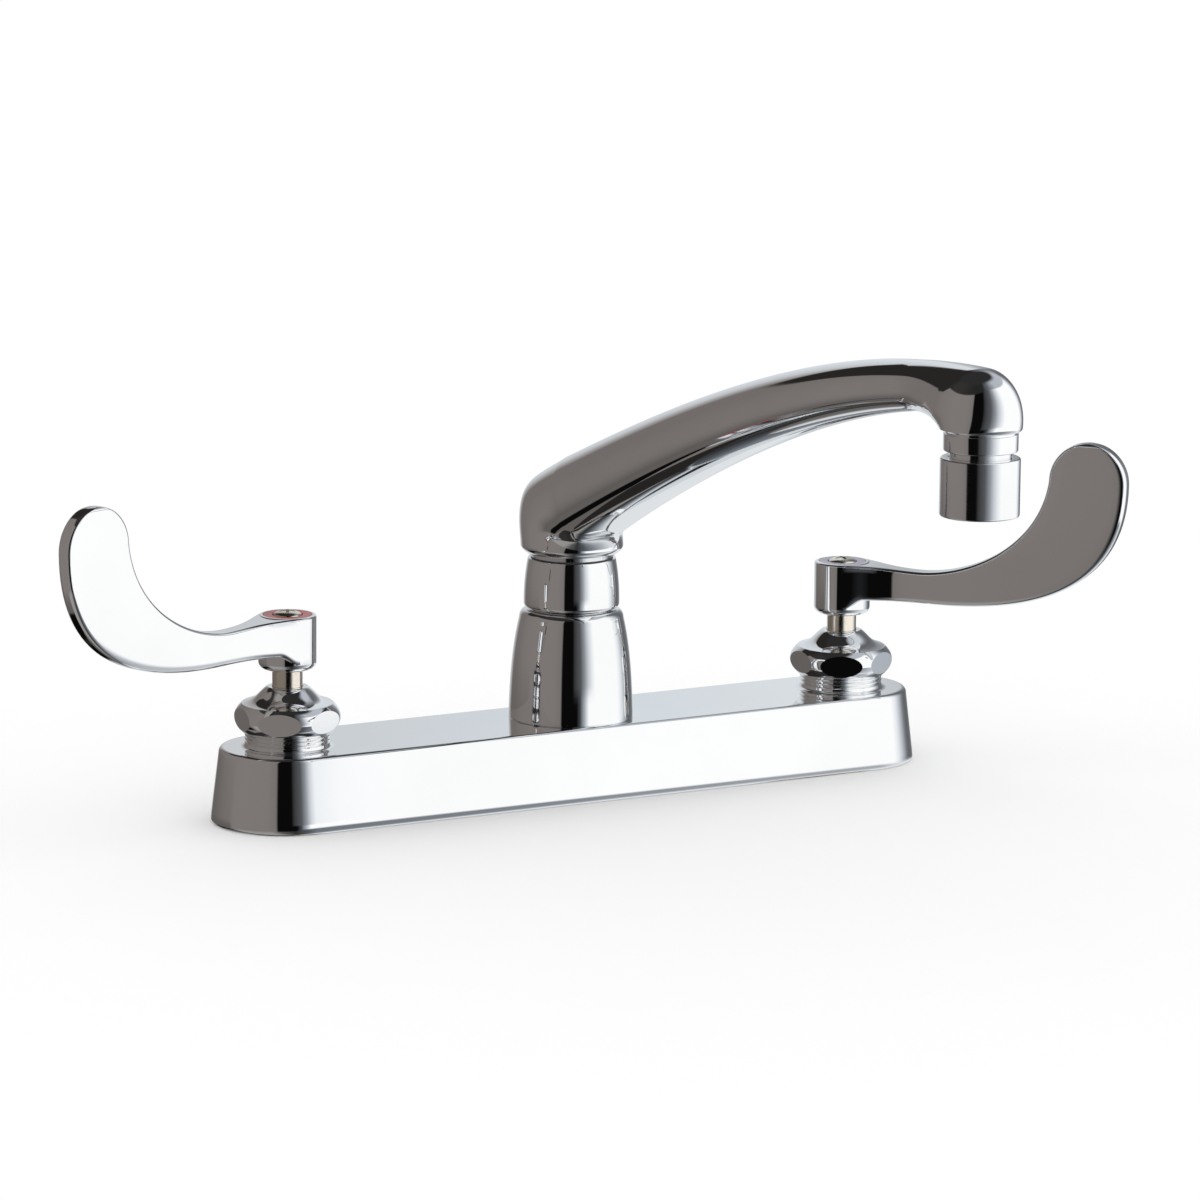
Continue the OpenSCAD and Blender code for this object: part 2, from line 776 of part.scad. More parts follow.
module swivel_stem() {
    bottom = bearing_z - swivel_depth;
    color("tan")
        difference() {
            union() {
                translate([0, 0, bottom]) cylinder(r = swivel_stem_r, h = swivel_depth + swivel_flange_t);
                translate([0, 0, swivel_flange_z]) cylinder(r = swivel_flange_r, h = swivel_flange_t);
                translate([0, 0, swivel_flange_z]) cylinder(r = swivel_neck_r, h = spout_z - swivel_flange_z);
                translate([0, 0, spout_z - cut]) cylinder(r = spigot_r, h = spigot_depth + cut);
            }
            translate([0, 0, bottom - cut])
                cylinder(r = swivel_bore_r, h = spout_z + spigot_depth - bottom + 2 * cut);
            for (share = [0.3, 0.75]) oring_groove(swivel_seal_r, bearing_z - swivel_depth * share);
        }
}

module swivel_orings() {
    color("black")
        for (share = [0.3, 0.75]) oring(swivel_seal_r, bearing_z - swivel_depth * share);
}

// The spout: one skin of rings. A ring is [reach, height, tilt, half depth, half width, low, top]: low and top
// say how square its halves are, and the tilt is its outer edge's direction, 180 at the hub and 0 at the mouth.

function ring_between(inner, outer, half_w, low, top) =
    let (middle = (inner + outer) / 2, span = outer - inner)
        [middle.x, middle.y, atan2(span.y, span.x), norm(span) / 2, half_w, low, top];

function foot_rings() = [
    for (i = [0:5])
        let (t = i / 6, r = mix(spout_foot_r, spout_hub_r, mix(t, sin(90 * t), 0.8)))
            [0, spout_z + spout_flare_h * t, 180, r, r, 0, 0]
];

// The bend fans round the crotch. Its outer edge follows the hub's back, then the arm's top.
bend_sweep = 90 - root_slope;
function bend_rings(steps) = [
    for (i = [0:steps])
        let (
            fan = bend_sweep * i / steps,
            outward = [-cos(fan), sin(fan)],
            hub_back = (crotch_r + 2 * spout_hub_r) / cos(fan),
            arm_back = (crotch_r + 2 * arm_root_r) / cos(bend_sweep - fan),
            grow = ease(i / steps),
            far = mix(soft_min(hub_back, arm_back, 14), arm_back, grow),
            inner = crotch + crotch_r * outward,
            half_w = mix(spout_hub_r, arm_root_r, grow)
        )
        ring_between(inner, crotch + far * outward, half_w, low_square * grow, top_square * grow)
];

arm_line = [
    arm_start,
    arm_start + arm_pull * [cos(root_slope), sin(root_slope)],
    arm_end - arm_pull * [cos(tip_slope), sin(tip_slope)],
    arm_end
];

function arm_slope(t) =
    let (step = 0.001, ahead = bezier(arm_line, t + step) - bezier(arm_line, t - step))
        atan2(ahead.y, ahead.x);

function arm_rings(steps) = [
    for (i = [1:steps])
        let (t = i / steps, at = bezier(arm_line, t), r = mix(arm_root_r, arm_tip_r, pow(t, 0.9)))
            [at.x, at.y, 90 + arm_slope(t), r, r, low_square, top_square * (1 - t)]
];

// The end: the outer edge runs out along the top and round the dome while the inner edge reaches the mouth
top_share = 0.42;
top_pull = 10;
top_start = arm_end + arm_tip_r * tip_out;
top_curve = [
    top_start,
    top_start + top_pull * [cos(tip_slope), sin(tip_slope)],
    dome + [-top_pull, dome_r],
    dome + [0, dome_r]
];
low_pull = 8;
low_start = arm_end - arm_tip_r * tip_out;
low_curve = [
    low_start,
    low_start + low_pull * [cos(tip_slope), sin(tip_slope)],
    [reach - mouth_half - low_pull, mouth_z],
    [reach - mouth_half, mouth_z]
];
function end_rings(steps) = [
    for (i = [1:steps])
        let (
            t = i / steps,
            round_t = (t - top_share) / (1 - top_share),
            inner = bezier(low_curve, t),
            outer = t < top_share
                ? bezier(top_curve, t / top_share)
                : dome + dome_r * [cos(mix(90, -mouth_angle, round_t)), sin(mix(90, -mouth_angle, round_t))],
            widen = ease(min(1, t * 1.25))
        )
        ring_between(inner, outer, mix(arm_tip_r, mouth_half, widen), low_square * (1 - widen), 0)
];

// A ring is round, or squarer the higher its power. A square ring is trimmed to keep the arm's outline.
square_trim = 0.04;
function square_pull(a, power) = pow(pow(abs(cos(a)), power) + pow(abs(sin(a)), power), -1 / power);
function ring_points(ring, shrink, sides) = [
    for (j = [0:sides - 1])
        let (
            a = 360 * j / sides,
            power = 2 + (cos(a) > 0 ? ring[6] : ring[5]),
            pull = square_pull(a, power) * (1 - square_trim * ring[5]),
            deep = (ring[3] - shrink) * pull * cos(a),
            wide = (ring[4] - shrink) * pull * sin(a)
        )
        [wide, -(ring[0] + deep * cos(ring[2])), ring[1] + deep * sin(ring[2])]
];

module spout() {
    outside = concat(foot_rings(), bend_rings(8), arm_rings(12), end_rings(12));
    inside = concat(
        [for (i = [3:8]) bend_rings(8)[i]],
        arm_rings(8),
        [for (i = [0:5]) end_rings(8)[i]]
    );
    color("gainsboro")
        difference() {
            skin([for (ring = outside) ring_points(ring, 0, 28)]);
            skin([for (ring = inside) ring_points(ring, spout_wall, 16)]);
            translate([0, 0, spout_z - cut]) cylinder(r = spigot_r + fit_gap, h = spigot_depth + cut);
            translate([0, 0, spout_z])
                cylinder(r = swivel_bore_r, h = crotch.y - spout_z + crotch_r + arm_root_r / 2);
            translate([0, -reach, mouth_z - cut]) cylinder(r = nipple_r + fit_gap, h = nipple_up + cut);
        }
}

// The outlet

module at_outlet() {
    translate([0, -reach, 0]) children();
}

module outlet_adapter() {
    color("gainsboro")
        at_outlet()
            difference() {
                union() {
                    translate([0, 0, nipple_z])
                        cylinder(r = nipple_r, h = mouth_z + nipple_up - 0.5 - nipple_z);
                    translate([0, 0, ring_z])
                        rotate_extrude() polygon([
                            [0, 0], [adapter_r - 0.4, 0], [adapter_r, 0.4],
                            [adapter_r, adapter_h - 0.4], [adapter_r - 0.4, adapter_h],
                            [adapter_r - 0.6, adapter_h], [adapter_r - 0.6, adapter_h + washer_step],
                            [0, adapter_h + washer_step]
                        ]);
                }
                translate([0, 0, nipple_z - cut])
                    cylinder(r = nipple_r - 2.5, h = mouth_z + nipple_up - nipple_z + 2 * cut);
            }
}

module aerator_housing() {
    color("gainsboro")
        at_outlet()
            translate([0, 0, aerator_z])
                rotate_extrude() polygon([
                    [mouth_r, 0], [aerator_r - 0.7, 0], [aerator_r, 0.7],
                    [aerator_r, aerator_h - 0.7], [aerator_r - 0.7, aerator_h],
                    [chamber_bore_r, aerator_h], [chamber_bore_r, mouth_depth], [mouth_r, mouth_depth]
                ]);
}

// A hole in the middle and rings of six, twelve holes round it
module hole_field(pitch, hole_r, z, top) {
    for (ring = [0:2])
        for (k = [0:max(0, 6 * ring - 1)])
            rotate([0, 0, 360 * k / max(1, 6 * ring)])
                translate([pitch * ring, 0, z - cut]) cylinder(r = hole_r, h = top - z + 2 * cut, $fn = 16);
}

module aerator_insert() {
    hole_pitch = 3.2;
    color("white")
        at_outlet()
            difference() {
                translate([0, 0, insert_z]) cylinder(r = nipple_r, h = insert_t);
                hole_field(hole_pitch, 0.9, insert_z, insert_z + insert_t);
            }
}

module aerator_screen() {
    bottom = insert_z + insert_t;
    color("silver")
        at_outlet()
            difference() {
                translate([0, 0, bottom]) cylinder(r = nipple_r, h = screen_t);
                hole_field(2.9, 1.15, bottom, bottom + screen_t);
            }
}

module aerator_washer() {
    bottom = insert_z + insert_t + screen_t;
    color("black") at_outlet() tube(nipple_r, nipple_r - 2.5, bottom, bottom + aerator_washer_t);
}

// One module for each sub-part of a side

module left_shank() { at_valve(LEFT) shank(); }
module right_shank() { at_valve(RIGHT) shank(); }
module left_shank_washer() { at_valve(LEFT) shank_washer(); }
module right_shank_washer() { at_valve(RIGHT) shank_washer(); }
module left_locknut() { at_valve(LEFT) locknut(); }
module right_locknut() { at_valve(RIGHT) locknut(); }
module left_seat_seal() { at_valve(LEFT) seat_seal(); }
module right_seat_seal() { at_valve(RIGHT) seat_seal(); }
module left_fixed_disc() { at_valve(LEFT) fixed_disc(); }
module right_fixed_disc() { at_valve(RIGHT) fixed_disc(); }
module left_moving_disc() { turned(LEFT) moving_disc(); }
module right_moving_disc() { turned(RIGHT) moving_disc(); }
module left_cartridge() { at_valve(LEFT) cartridge(); }
module right_cartridge() { at_valve(RIGHT) cartridge(); }
module left_cartridge_oring() { at_valve(LEFT) cartridge_oring(); }
module right_cartridge_oring() { at_valve(RIGHT) cartridge_oring(); }
module left_bonnet_nut() { at_valve(LEFT) bonnet_nut(left_nut_turn); }
module right_bonnet_nut() { at_valve(RIGHT) bonnet_nut(right_nut_turn); }
module left_stem() { turned(LEFT) stem(); }
module right_stem() { turned(RIGHT) stem(); }
module left_stem_oring() { turned(LEFT) stem_oring(); }
module right_stem_oring() { turned(RIGHT) stem_oring(); }
module left_handle() { turned(LEFT) handle(); }
module right_handle() { turned(RIGHT) handle(); }
module left_index_ring() { turned(LEFT) index_ring("firebrick"); }
module right_index_ring() { turned(RIGHT) index_ring("thistle"); }
module left_handle_screw() { turned(LEFT) handle_screw(); }
module right_handle_screw() { turned(RIGHT) handle_screw(); }

faucet_body();
deck_gasket();
spout_post();
post_seal();
spout_nut();
bearing_washer();
glide_ring();
spout();
swivel_stem();
swivel_orings();
outlet_adapter();
aerator_housing();
aerator_insert();
aerator_screen();
aerator_washer();
left_shank();
left_shank_washer();
left_locknut();
left_seat_seal();
left_fixed_disc();
left_moving_disc();
left_cartridge();
left_cartridge_oring();
left_bonnet_nut();
left_stem();
left_stem_oring();
left_handle();
left_index_ring();
left_handle_screw();
right_shank();
right_shank_washer();
right_locknut();
right_seat_seal();
right_fixed_disc();
right_moving_disc();
right_cartridge();
right_cartridge_oring();
right_bonnet_nut();
right_stem();
right_stem_oring();
right_handle();
right_index_ring();
right_handle_screw();
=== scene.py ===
import json
import math

import bmesh
import bpy
from mathutils import Matrix, Vector


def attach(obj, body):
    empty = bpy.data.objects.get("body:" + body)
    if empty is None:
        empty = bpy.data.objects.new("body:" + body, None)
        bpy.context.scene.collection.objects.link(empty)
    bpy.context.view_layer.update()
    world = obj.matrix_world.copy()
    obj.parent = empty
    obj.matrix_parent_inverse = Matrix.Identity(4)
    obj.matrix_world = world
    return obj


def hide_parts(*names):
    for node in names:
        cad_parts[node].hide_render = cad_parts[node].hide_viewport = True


# Visual model of the two-handle faucet. X runs along the base, the spout points to -Y, the deck is z = 0.
# Lengths are millimetres until a mesh is made, then metres.

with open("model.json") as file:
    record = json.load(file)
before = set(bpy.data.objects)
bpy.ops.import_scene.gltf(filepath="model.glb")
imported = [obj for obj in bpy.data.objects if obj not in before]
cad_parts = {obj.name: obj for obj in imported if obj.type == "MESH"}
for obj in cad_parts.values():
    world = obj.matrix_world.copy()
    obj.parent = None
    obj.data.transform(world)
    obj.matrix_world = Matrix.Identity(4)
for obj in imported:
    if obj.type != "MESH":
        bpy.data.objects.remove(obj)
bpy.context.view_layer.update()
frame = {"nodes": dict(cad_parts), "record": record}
scene = bpy.context.scene
MM = 0.001

# Sizes, as in the solids. The blade's end and the dome are up to 0.3 smaller, to stay inside their facets,
# the blade's edges are less round, and the glide ring is thinner.

# Base
VALVE_X = 101.6
END_MARGIN = 24.5
BASE_H = 24.0
BASE_W = 46.8
END_X = VALVE_X + END_MARGIN - BASE_W / 2
SIDE_DRAFT = 2.7
BASE_WALL = 3.0
TOP_EDGE_R = 1.6
FOOT_EDGE_R = 1.3
INNER_TOP_R = 0.8
INNER_FOOT_R = 0.15

# Shanks and locknuts
SHANK_R = 10.475
SHANK_BORE_R = 6.4
SHANK_DROP = 58.0
SHANK_TOP = 8.0
THREAD_PITCH = 1.814
THREAD_DEPTH = 0.9
THREAD_CHAMFER = 1.2
CLAMP_SPACE = 25.0
LOCKNUT_T = 8.0
LOCKNUT_FLATS = 30.0
LOCKNUT_BEVEL = 1.3
RELIEF_W = 2.0
RELIEF_D = 0.8
RELIEF_TOP = -CLAMP_SPACE - LOCKNUT_T - 0.5

# Bonnet necks and nuts. The points of a groove are (depth, height, corner radius).
NECK_R = 13.5
NECK_SINK = 2.5
NECK_RISE = 4.0
FILLET = 1.6
FILLET_H = FILLET * 0.6
NECK_GROOVES = 3
NECK_GROOVE_Z = 1.7
NECK_PITCH = 1.3
NECK_GROOVE = ((0, -0.15, 0.12), (0.8, 0.25, 0.1), (0.8, 0.4, 0.1), (0, 0.8, 0.12))
COLLAR_H = 5.0
NUT_Z = BASE_H + COLLAR_H
NUT_FLATS = 30.6
NUT_R = 16.8
NUT_EDGE_R = 14.4
NUT_HEX_H = 8.9
NUT_CONE_H = 5.3
LEFT_NUT_TURN = 24.5
RIGHT_NUT_TURN = 29.5
FLANGE_TOP = 35.3
STEM_R = 4.8
CONE_R = 6.3
CONE_FOOT_R = 11.4

# Handles
STEM_SHOW = 5.6
HUB_Z = NUT_Z + NUT_HEX_H + NUT_CONE_H + STEM_SHOW
HUB_R = 9.2
HUB_H = 17.3
HUB_TOP = HUB_Z + HUB_H
HUB_BORE_R = STEM_R * 0.76
HUB_EDGE_R = 2.5
HUB_RIM_R = 0.8
ARM_LIFT = 5.6
ARM_Z = HUB_Z + ARM_LIFT
ARM_DROP = 1.3
ARM_HALF = 3.3
ARM_ROOT_DROP = 0.06
ARM_ROOT_ROUND = 0.9
BLADE_HALF = 2.53
BLADE_ROUND = 1.3
ARM_OUT = 27.0
FLARE_ANGLE = math.radians(18)
FLARE_BLEND = 2.4
FLARE_TRIM = 0.26
WEB_DROP = 3.6
WEB_RUN = 6.5
PADDLE_OUT = 83.75
PADDLE_UP = 49.3
PADDLE = Vector((PADDLE_OUT, HUB_Z + PADDLE_UP))
PADDLE_R = 13.1
PADDLE_NARROW = 3.0
PADDLE_END = 86  # degrees round the paddle at which its last ring stands
LOWER_PULL = (12, 48)
UPPER_PULL = (18, 22)
LEFT_REST = math.radians(19.5)
RIGHT_REST = math.radians(50.5)
INDEX_R = 7.75
INDEX_T = 1.0
SCREW_HEAD_R = 4.5

# Column, spout nut and glide ring
POST_FOOT_R = 20.1
POST_TOP_R = 16.8
POST_H = 35.5
POST_BORE_R = 9.0
POST_THREAD_R = 13.0
POST_THREAD_TOP = 65.4
SHOULDER_R = 3.0
SHOULDER_Z = BASE_H + POST_H
POST_GROOVE = 0.5
SPOUT_NUT_Z = SHOULDER_Z + POST_GROOVE
SPOUT_NUT_R = 15.4
SPOUT_NUT_H = 16.0
SPOUT_NUT_BORE_R = 13.1
SPOUT_NUT_TAPER = 1.2
NUT_TOP = SPOUT_NUT_Z + SPOUT_NUT_H
LIP_R = 10.4
LIP_T = 4.5
GLIDE_T = 0.5

# Spout
SPOUT_Z = 77.0
SPOUT_HUB_R = 16.5
SPOUT_FOOT_R = 13.6
FLARE_H = 2.9
FLARE_BULGE = 0.8
REACH = 241.3
RISE = 81.7
ROOT_SLOPE = math.radians(24.5)
TIP_SLOPE = math.radians(7.5)
ARM_ROOT_R = 14.5
ARM_TIP_R = 7.7
TAPER_POWER = 0.9
CROTCH_R = 6.0
BEND_POWER = 14
DOME_R = 12.9
DOME_RUN = 33.0
TIP_SINK = 2.2
MOUTH_DROP = 5.1
ARM_PULL = 64.0
TOP_PULL = 10
LOW_PULL = 8
TOP_SHARE = 0.42
WIDEN_RATE = 1.25
LOW_SQUARE = 0.8
TOP_SQUARE = 0.4
SQUARE_TRIM = 0.04
MOUTH_ROUND = 0.35
FOOT_SKIRT = 0.5

# Outlet
ADAPTER_R = 10.8
ADAPTER_H = 5.2
ADAPTER_BORE_R = 6.5
ADAPTER_GAP = 1.9
NIPPLE_R = 9.0
NIPPLE_RISE = 6.5
NIPPLE_FOOT = 11.6
AERATOR_R = 11.6
AERATOR_H = 17.0
HOUSING_BORE_R = 9.08
MOUTH_R = 8.2
MOUTH_DEPTH = 5.0
WASHER_STEP = 0.8

# Gaps round what fits into a seat and between faces that only come close
FIT_GAP = 0.08
FACE_GAP = 0.3

# Inner radius of what is hidden inside another piece, and of a point as good as on its axis
CORE_R = 0.5
ON_AXIS = 0.001

# The corners of a square, in order
SQUARE = ((-1, -1), (1, -1), (1, 1), (-1, 1))


def mix(a, b, t):
    return a + (b - a) * t


def ease(t):
    t = max(0.0, min(1.0, t))
    return t * t * (3 - 2 * t)


def bezier(p, t):
    u = 1 - t
    return p[0] * u ** 3 + p[1] * 3 * u * u * t + p[2] * 3 * u * t * t + p[3] * t ** 3


def soft_max(a, b, blend):
    return (a + b + math.sqrt((a - b) ** 2 + blend * blend)) / 2


def soft_min(a, b, power):
    return (a ** -power + b ** -power) ** (-1 / power)


def arc(x, y, radius, start, end, steps, first=0):
    """Points on a circle about (x, y), from one angle to another in degrees."""
    angles = [math.radians(mix(start, end, k / steps)) for k in range(first, steps + 1)]
    return [(x + radius * math.cos(a), y + radius * math.sin(a)) for a in angles]


def circle(radius, sides):
    """Points round the origin."""
    angles = [2 * math.pi * j / sides for j in range(sides)]
    return [(radius * math.cos(a), radius * math.sin(a)) for a in angles]


# Meshes. Points closer than WELD are one, and edges shorter than SLIVER go, both in metres.

WELD = 1e-6
SLIVER = 1e-7
# A corner wider than this isn't rounded, and a rounding takes no more than this share of a side
STRAIGHT = math.radians(172)
SIDE_SHARE = 0.45


def make_object(name, points, faces, sharp=30):
    mesh = bpy.data.meshes.new(name)
    mesh.from_pydata([Vector(p) * MM for p in points], [], faces)
    mesh.validate()
    work = bmesh.new()
    work.from_mesh(mesh)
    bmesh.ops.remove_doubles(work, verts=work.verts, dist=WELD)
    bmesh.ops.dissolve_degenerate(work, edges=work.edges, dist=SLIVER)
    bmesh.ops.recalc_face_normals(work, faces=work.faces)
    work.to_mesh(mesh)
    work.free()
    obj = bpy.data.objects.new(name, mesh)
    scene.collection.objects.link(obj)
    return smooth(obj, sharp)


def smooth(obj, sharp=30):
    """Shades smooth, apart from edges sharper than an angle in degrees."""
    obj.data.shade_smooth()
    obj.data.set_sharp_from_angle(angle=math.radians(sharp))
    return obj


def ring_faces(rings, sides, caps=True, wrap=False):
    """Faces between rings of points. wrap joins the last ring to the first."""
    faces = []
    for i in range(rings if wrap else rings - 1):
        low, high = i * sides, ((i + 1) % rings) * sides
        for j in range(sides):
            k = (j + 1) % sides
            faces.append((low + j, low + k, high + k, high + j))
    if caps and not wrap:
        faces.append(tuple(range(sides - 1, -1, -1)))
        faces.append(tuple((rings - 1) * sides + j for j in range(sides)))
    return faces


def rounded(profile, radius, steps=5):
    """A closed profile with every corner rounded. A third number on a point is its own radius."""
    out = []
    count = len(profile)
    for i in range(count):
        before, here, after = (Vector(profile[(i + d) % count][:2]) for d in (-1, 0, 1))
        r = profile[i][2] if len(profile[i]) > 2 else radius
        a, b = before - here, after - here
        if a.length < 1e-6 or b.length < 1e-6:
            continue
        angle = a.angle(b)
        if r <= 0 or angle > STRAIGHT:
            out.append(tuple(here))
            continue
        back = min(r / math.tan(angle / 2), SIDE_SHARE * a.length, SIDE_SHARE * b.length)
        start, end = here + a.normalized() * back, here + b.normalized() * back
        for k in range(steps + 1):
            t = k / steps
            out.append(tuple(start * (1 - t) ** 2 + here * 2 * t * (1 - t) + end * t * t))
    return out


def lathe(name, profile, at=(0, 0), sides=160, sharp=30):
    """A closed profile of (radius, height), turned about an upright axis."""
    points = [(at[0] + x, at[1] + y, z) for r, z in profile for x, y in circle(r, sides)]
    return make_object(name, points, ring_faces(len(profile), sides, wrap=True), sharp)


def skin(name, rings, sharp=30):
    points = [p for ring in rings for p in ring]
    return make_object(name, points, ring_faces(len(rings), len(rings[0])), sharp)


def hex_prism(flats, low, high, turn=0):
    """A hexagon to cut a nut's flats with. It stands over both of the nut's ends."""
    over = 1
    corner = flats / 2 / math.cos(math.pi / 6)
    points = [(*at, z) for z in (low - over, high + over) for at in arc(0, 0, corner, turn, turn + 300, 5)]
    return make_object("prism", points, ring_faces(2, 6))


def place(obj, turn=0.0, x=0.0):
    """Turns a mesh about the upright axis and moves it along X, in its own points."""
    obj.data.transform(Matrix.Translation((x * MM, 0, 0)) @ Matrix.Rotation(turn, 4, "Z"))
    return obj


def combine(target, other, operation):
    """Cuts or unites two solids into the first. The second is used up."""
    modifier = target.modifiers.new(operation, "BOOLEAN")
    modifier.operation = operation
    modifier.solver = "EXACT"
    modifier.object = other
    bpy.context.view_layer.update()
    result = bpy.data.meshes.new_from_object(target.evaluated_get(bpy.context.evaluated_depsgraph_get()))
    target.modifiers.clear()
    target.data = result
    bpy.data.objects.remove(other)
    return target


def join(target, *others):
    """Puts meshes into one object, each as it is. The others are used up."""
    work = bmesh.new()
    work.from_mesh(target.data)
    for other in others:
        work.from_mesh(other.data)
        bpy.data.objects.remove(other)
    work.to_mesh(target.data)
    work.free()
    return smooth(target)


# Materials

def node(tree, kind, values=None, **settings):
    made = tree.nodes.new(kind)
    for key, value in settings.items():
        setattr(made, key, value)
    for key, value in (values or {}).items():
        made.inputs[key].default_value = value
    return made


def ramp(tree, fac, stops):
    made = tree.nodes.new("ShaderNodeValToRGB")
    elements = made.color_ramp.elements
    for i, (position, colour) in enumerate(stops):
        element = elements[i] if i < 2 else elements.new(position)
        element.position = position
        element.color = (*colour, 1)
    tree.links.new(fac, made.inputs["Fac"])
    return made.outputs["Color"]


# Depths of the grain and of turning marks, in metres
GRAIN_DEPTH = 0.0002
RING_DEPTH = 0.0001
# The tones are this many times coarser than the grain
COARSER = 12
# Radians that a wave texture of scale 1 turns per metre
WAVE_RATE = 20


def surface(name, colours, roughness, metallic=0.0, grain=400.0, bump=0.02, rings=0.0, ring_bump=0.0):
    """A surface with a fine grain. colours are its dark and light tone, roughness its low and high end,
    rings the spacing of turning marks in millimetres per radian."""
    material = bpy.data.materials.new(name)
    material.use_nodes = True
    tree = material.node_tree
    shader = tree.nodes["Principled BSDF"]
    shader.inputs["Metallic"].default_value = metallic
    where = node(tree, "ShaderNodeTexCoord")
    coarse = node(tree, "ShaderNodeTexNoise", {"Scale": grain / COARSER, "Detail": 3.0, "Roughness": 0.5})
    fine = node(tree, "ShaderNodeTexNoise", {"Scale": grain, "Detail": 4.0, "Roughness": 0.6})
    for texture in (coarse, fine):
        tree.links.new(where.outputs["Object"], texture.inputs["Vector"])
    tones = ramp(tree, coarse.outputs["Fac"], [(0.35, colours[0]), (0.65, colours[1])])
    tree.links.new(tones, shader.inputs["Base Color"])
    ends = {"From Min": 0.3, "From Max": 0.7, "To Min": roughness[0], "To Max": roughness[1]}
    spread = node(tree, "ShaderNodeMapRange", ends)
    tree.links.new(fine.outputs["Fac"], spread.inputs["Value"])
    tree.links.new(spread.outputs["Result"], shader.inputs["Roughness"])
    relief = node(tree, "ShaderNodeBump", {"Strength": bump, "Distance": GRAIN_DEPTH})
    tree.links.new(fine.outputs["Fac"], relief.inputs["Height"])
    if rings:
        values = {"Scale": 1000 / rings / WAVE_RATE, "Distortion": 0.6, "Detail": 2.0, "Detail Scale": 3.0}
        wave = node(tree, "ShaderNodeTexWave", values, wave_type="BANDS", bands_direction="Z")
        tree.links.new(where.outputs["Object"], wave.inputs["Vector"])
        marks = node(tree, "ShaderNodeBump", {"Strength": ring_bump, "Distance": RING_DEPTH})
        tree.links.new(wave.outputs["Fac"], marks.inputs["Height"])
        tree.links.new(relief.outputs["Normal"], marks.inputs["Normal"])
        relief = marks
    tree.links.new(relief.outputs["Normal"], shader.inputs["Normal"])
    return material


CHROME = ((0.90, 0.905, 0.91), (0.93, 0.935, 0.94))
NICKEL = ((0.84, 0.77, 0.66), (0.90, 0.84, 0.73))
BRASS = ((0.60, 0.44, 0.20), (0.74, 0.57, 0.28))
STEEL = ((0.52, 0.53, 0.54), (0.66, 0.67, 0.68))
RUBBER = ((0.012, 0.012, 0.012), (0.03, 0.03, 0.031))
NYLON = ((0.60, 0.55, 0.44), (0.70, 0.65, 0.54))
ACETAL = ((0.03, 0.03, 0.032), (0.06, 0.06, 0.062))
CERAMIC = ((0.84, 0.82, 0.78), (0.90, 0.89, 0.86))
RED = ((0.30, 0.028, 0.024), (0.42, 0.05, 0.045))
LILAC = ((0.30, 0.28, 0.36), (0.38, 0.36, 0.44))

MATERIALS = {
    "cast_chrome": surface("cast_chrome", CHROME, (0.02, 0.045), 1.0, grain=260, bump=0.006),
    "turned_chrome": surface("turned_chrome", CHROME, (0.025, 0.05), 1.0, grain=300, bump=0.004,
                             rings=0.35, ring_bump=0.006),
    "satin_chrome": surface("satin_chrome", CHROME, (0.07, 0.12), 1.0, grain=600, bump=0.01,
                            rings=0.25, ring_bump=0.02),
    "nickel": surface("nickel", NICKEL, (0.12, 0.22), 1.0, grain=500, bump=0.02,
                      rings=0.3, ring_bump=0.03),
    "brass": surface("brass", BRASS, (0.18, 0.32), 1.0, grain=350, bump=0.05,
                     rings=0.4, ring_bump=0.05),
    "steel": surface("steel", STEEL, (0.2, 0.34), 1.0, grain=700, bump=0.05),
    "rubber": surface("rubber", RUBBER, (0.55, 0.75), grain=900, bump=0.15),
    "nylon": surface("nylon", NYLON, (0.35, 0.5), grain=500, bump=0.05),
    "acetal": surface("acetal", ACETAL, (0.35, 0.5), grain=700, bump=0.05),
    "ceramic": surface("ceramic", CERAMIC, (0.12, 0.2), grain=400, bump=0.01),
    "index_red": surface("index_red", RED, (0.22, 0.34), grain=900, bump=0.06),
    "index_grey": surface("index_grey", LILAC, (0.22, 0.34), grain=900, bump=0.06),
}
# Slots whose look has another name. The others are looks themselves.
LOOK_OF_SLOT = {"chrome": "turned_chrome", "chrome_soft": "satin_chrome"}


def wear(obj, look):
    obj.data.materials.clear()
    obj.data.materials.append(MATERIALS[look])


def dress(obj, look, slot, body, *nodes):
    wear(obj, look)
    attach(obj, body)
    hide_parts(*nodes)


# Base

def stadium(half_run, r, z, steps=48, run_steps=24):
    ring = []
    for side in (1, -1):
        for k in range(steps + 1):
            a = math.radians(-90 + 180 * k / steps) + (math.pi if side < 0 else 0)
            ring.append((side * half_run + r * math.cos(a), r * math.sin(a), z))
        for k in range(1, run_steps):
            ring.append((side * half_run * (1 - 2 * k / run_steps), side * r, z))
    return ring


def base_outline(inset, top, top_r, foot_r):
    """Half widths and heights of a drafted wall, from its foot to its top, both rounded."""
    strip = 0.4  # what is left flat of the top before it is capped
    lean = math.degrees(math.atan(SIDE_DRAFT / BASE_H))
    foot = BASE_W / 2 - inset
    head = foot - SIDE_DRAFT * top / BASE_H
    outline = arc(foot - foot_r - SIDE_DRAFT * foot_r / BASE_H, foot_r, foot_r, -90, -lean, 6)
    for share in (0.12, 0.9):
        half_w, z = outline[-1]
        outline.append((mix(half_w, head, share), mix(z, top - top_r, share)))
    outline += arc(head - top_r, top - top_r, top_r, lean, 90, 12)
    outline.append((head - top_r - strip, top))
    return outline


def base_shell():
    inner = base_outline(BASE_WALL, BASE_H - BASE_WALL, INNER_TOP_R, INNER_FOOT_R)
    outer = base_outline(0, BASE_H, TOP_EDGE_R, FOOT_EDGE_R)
    return skin("base_casting", [stadium(END_X, r, z) for r, z in inner[::-1] + outer])


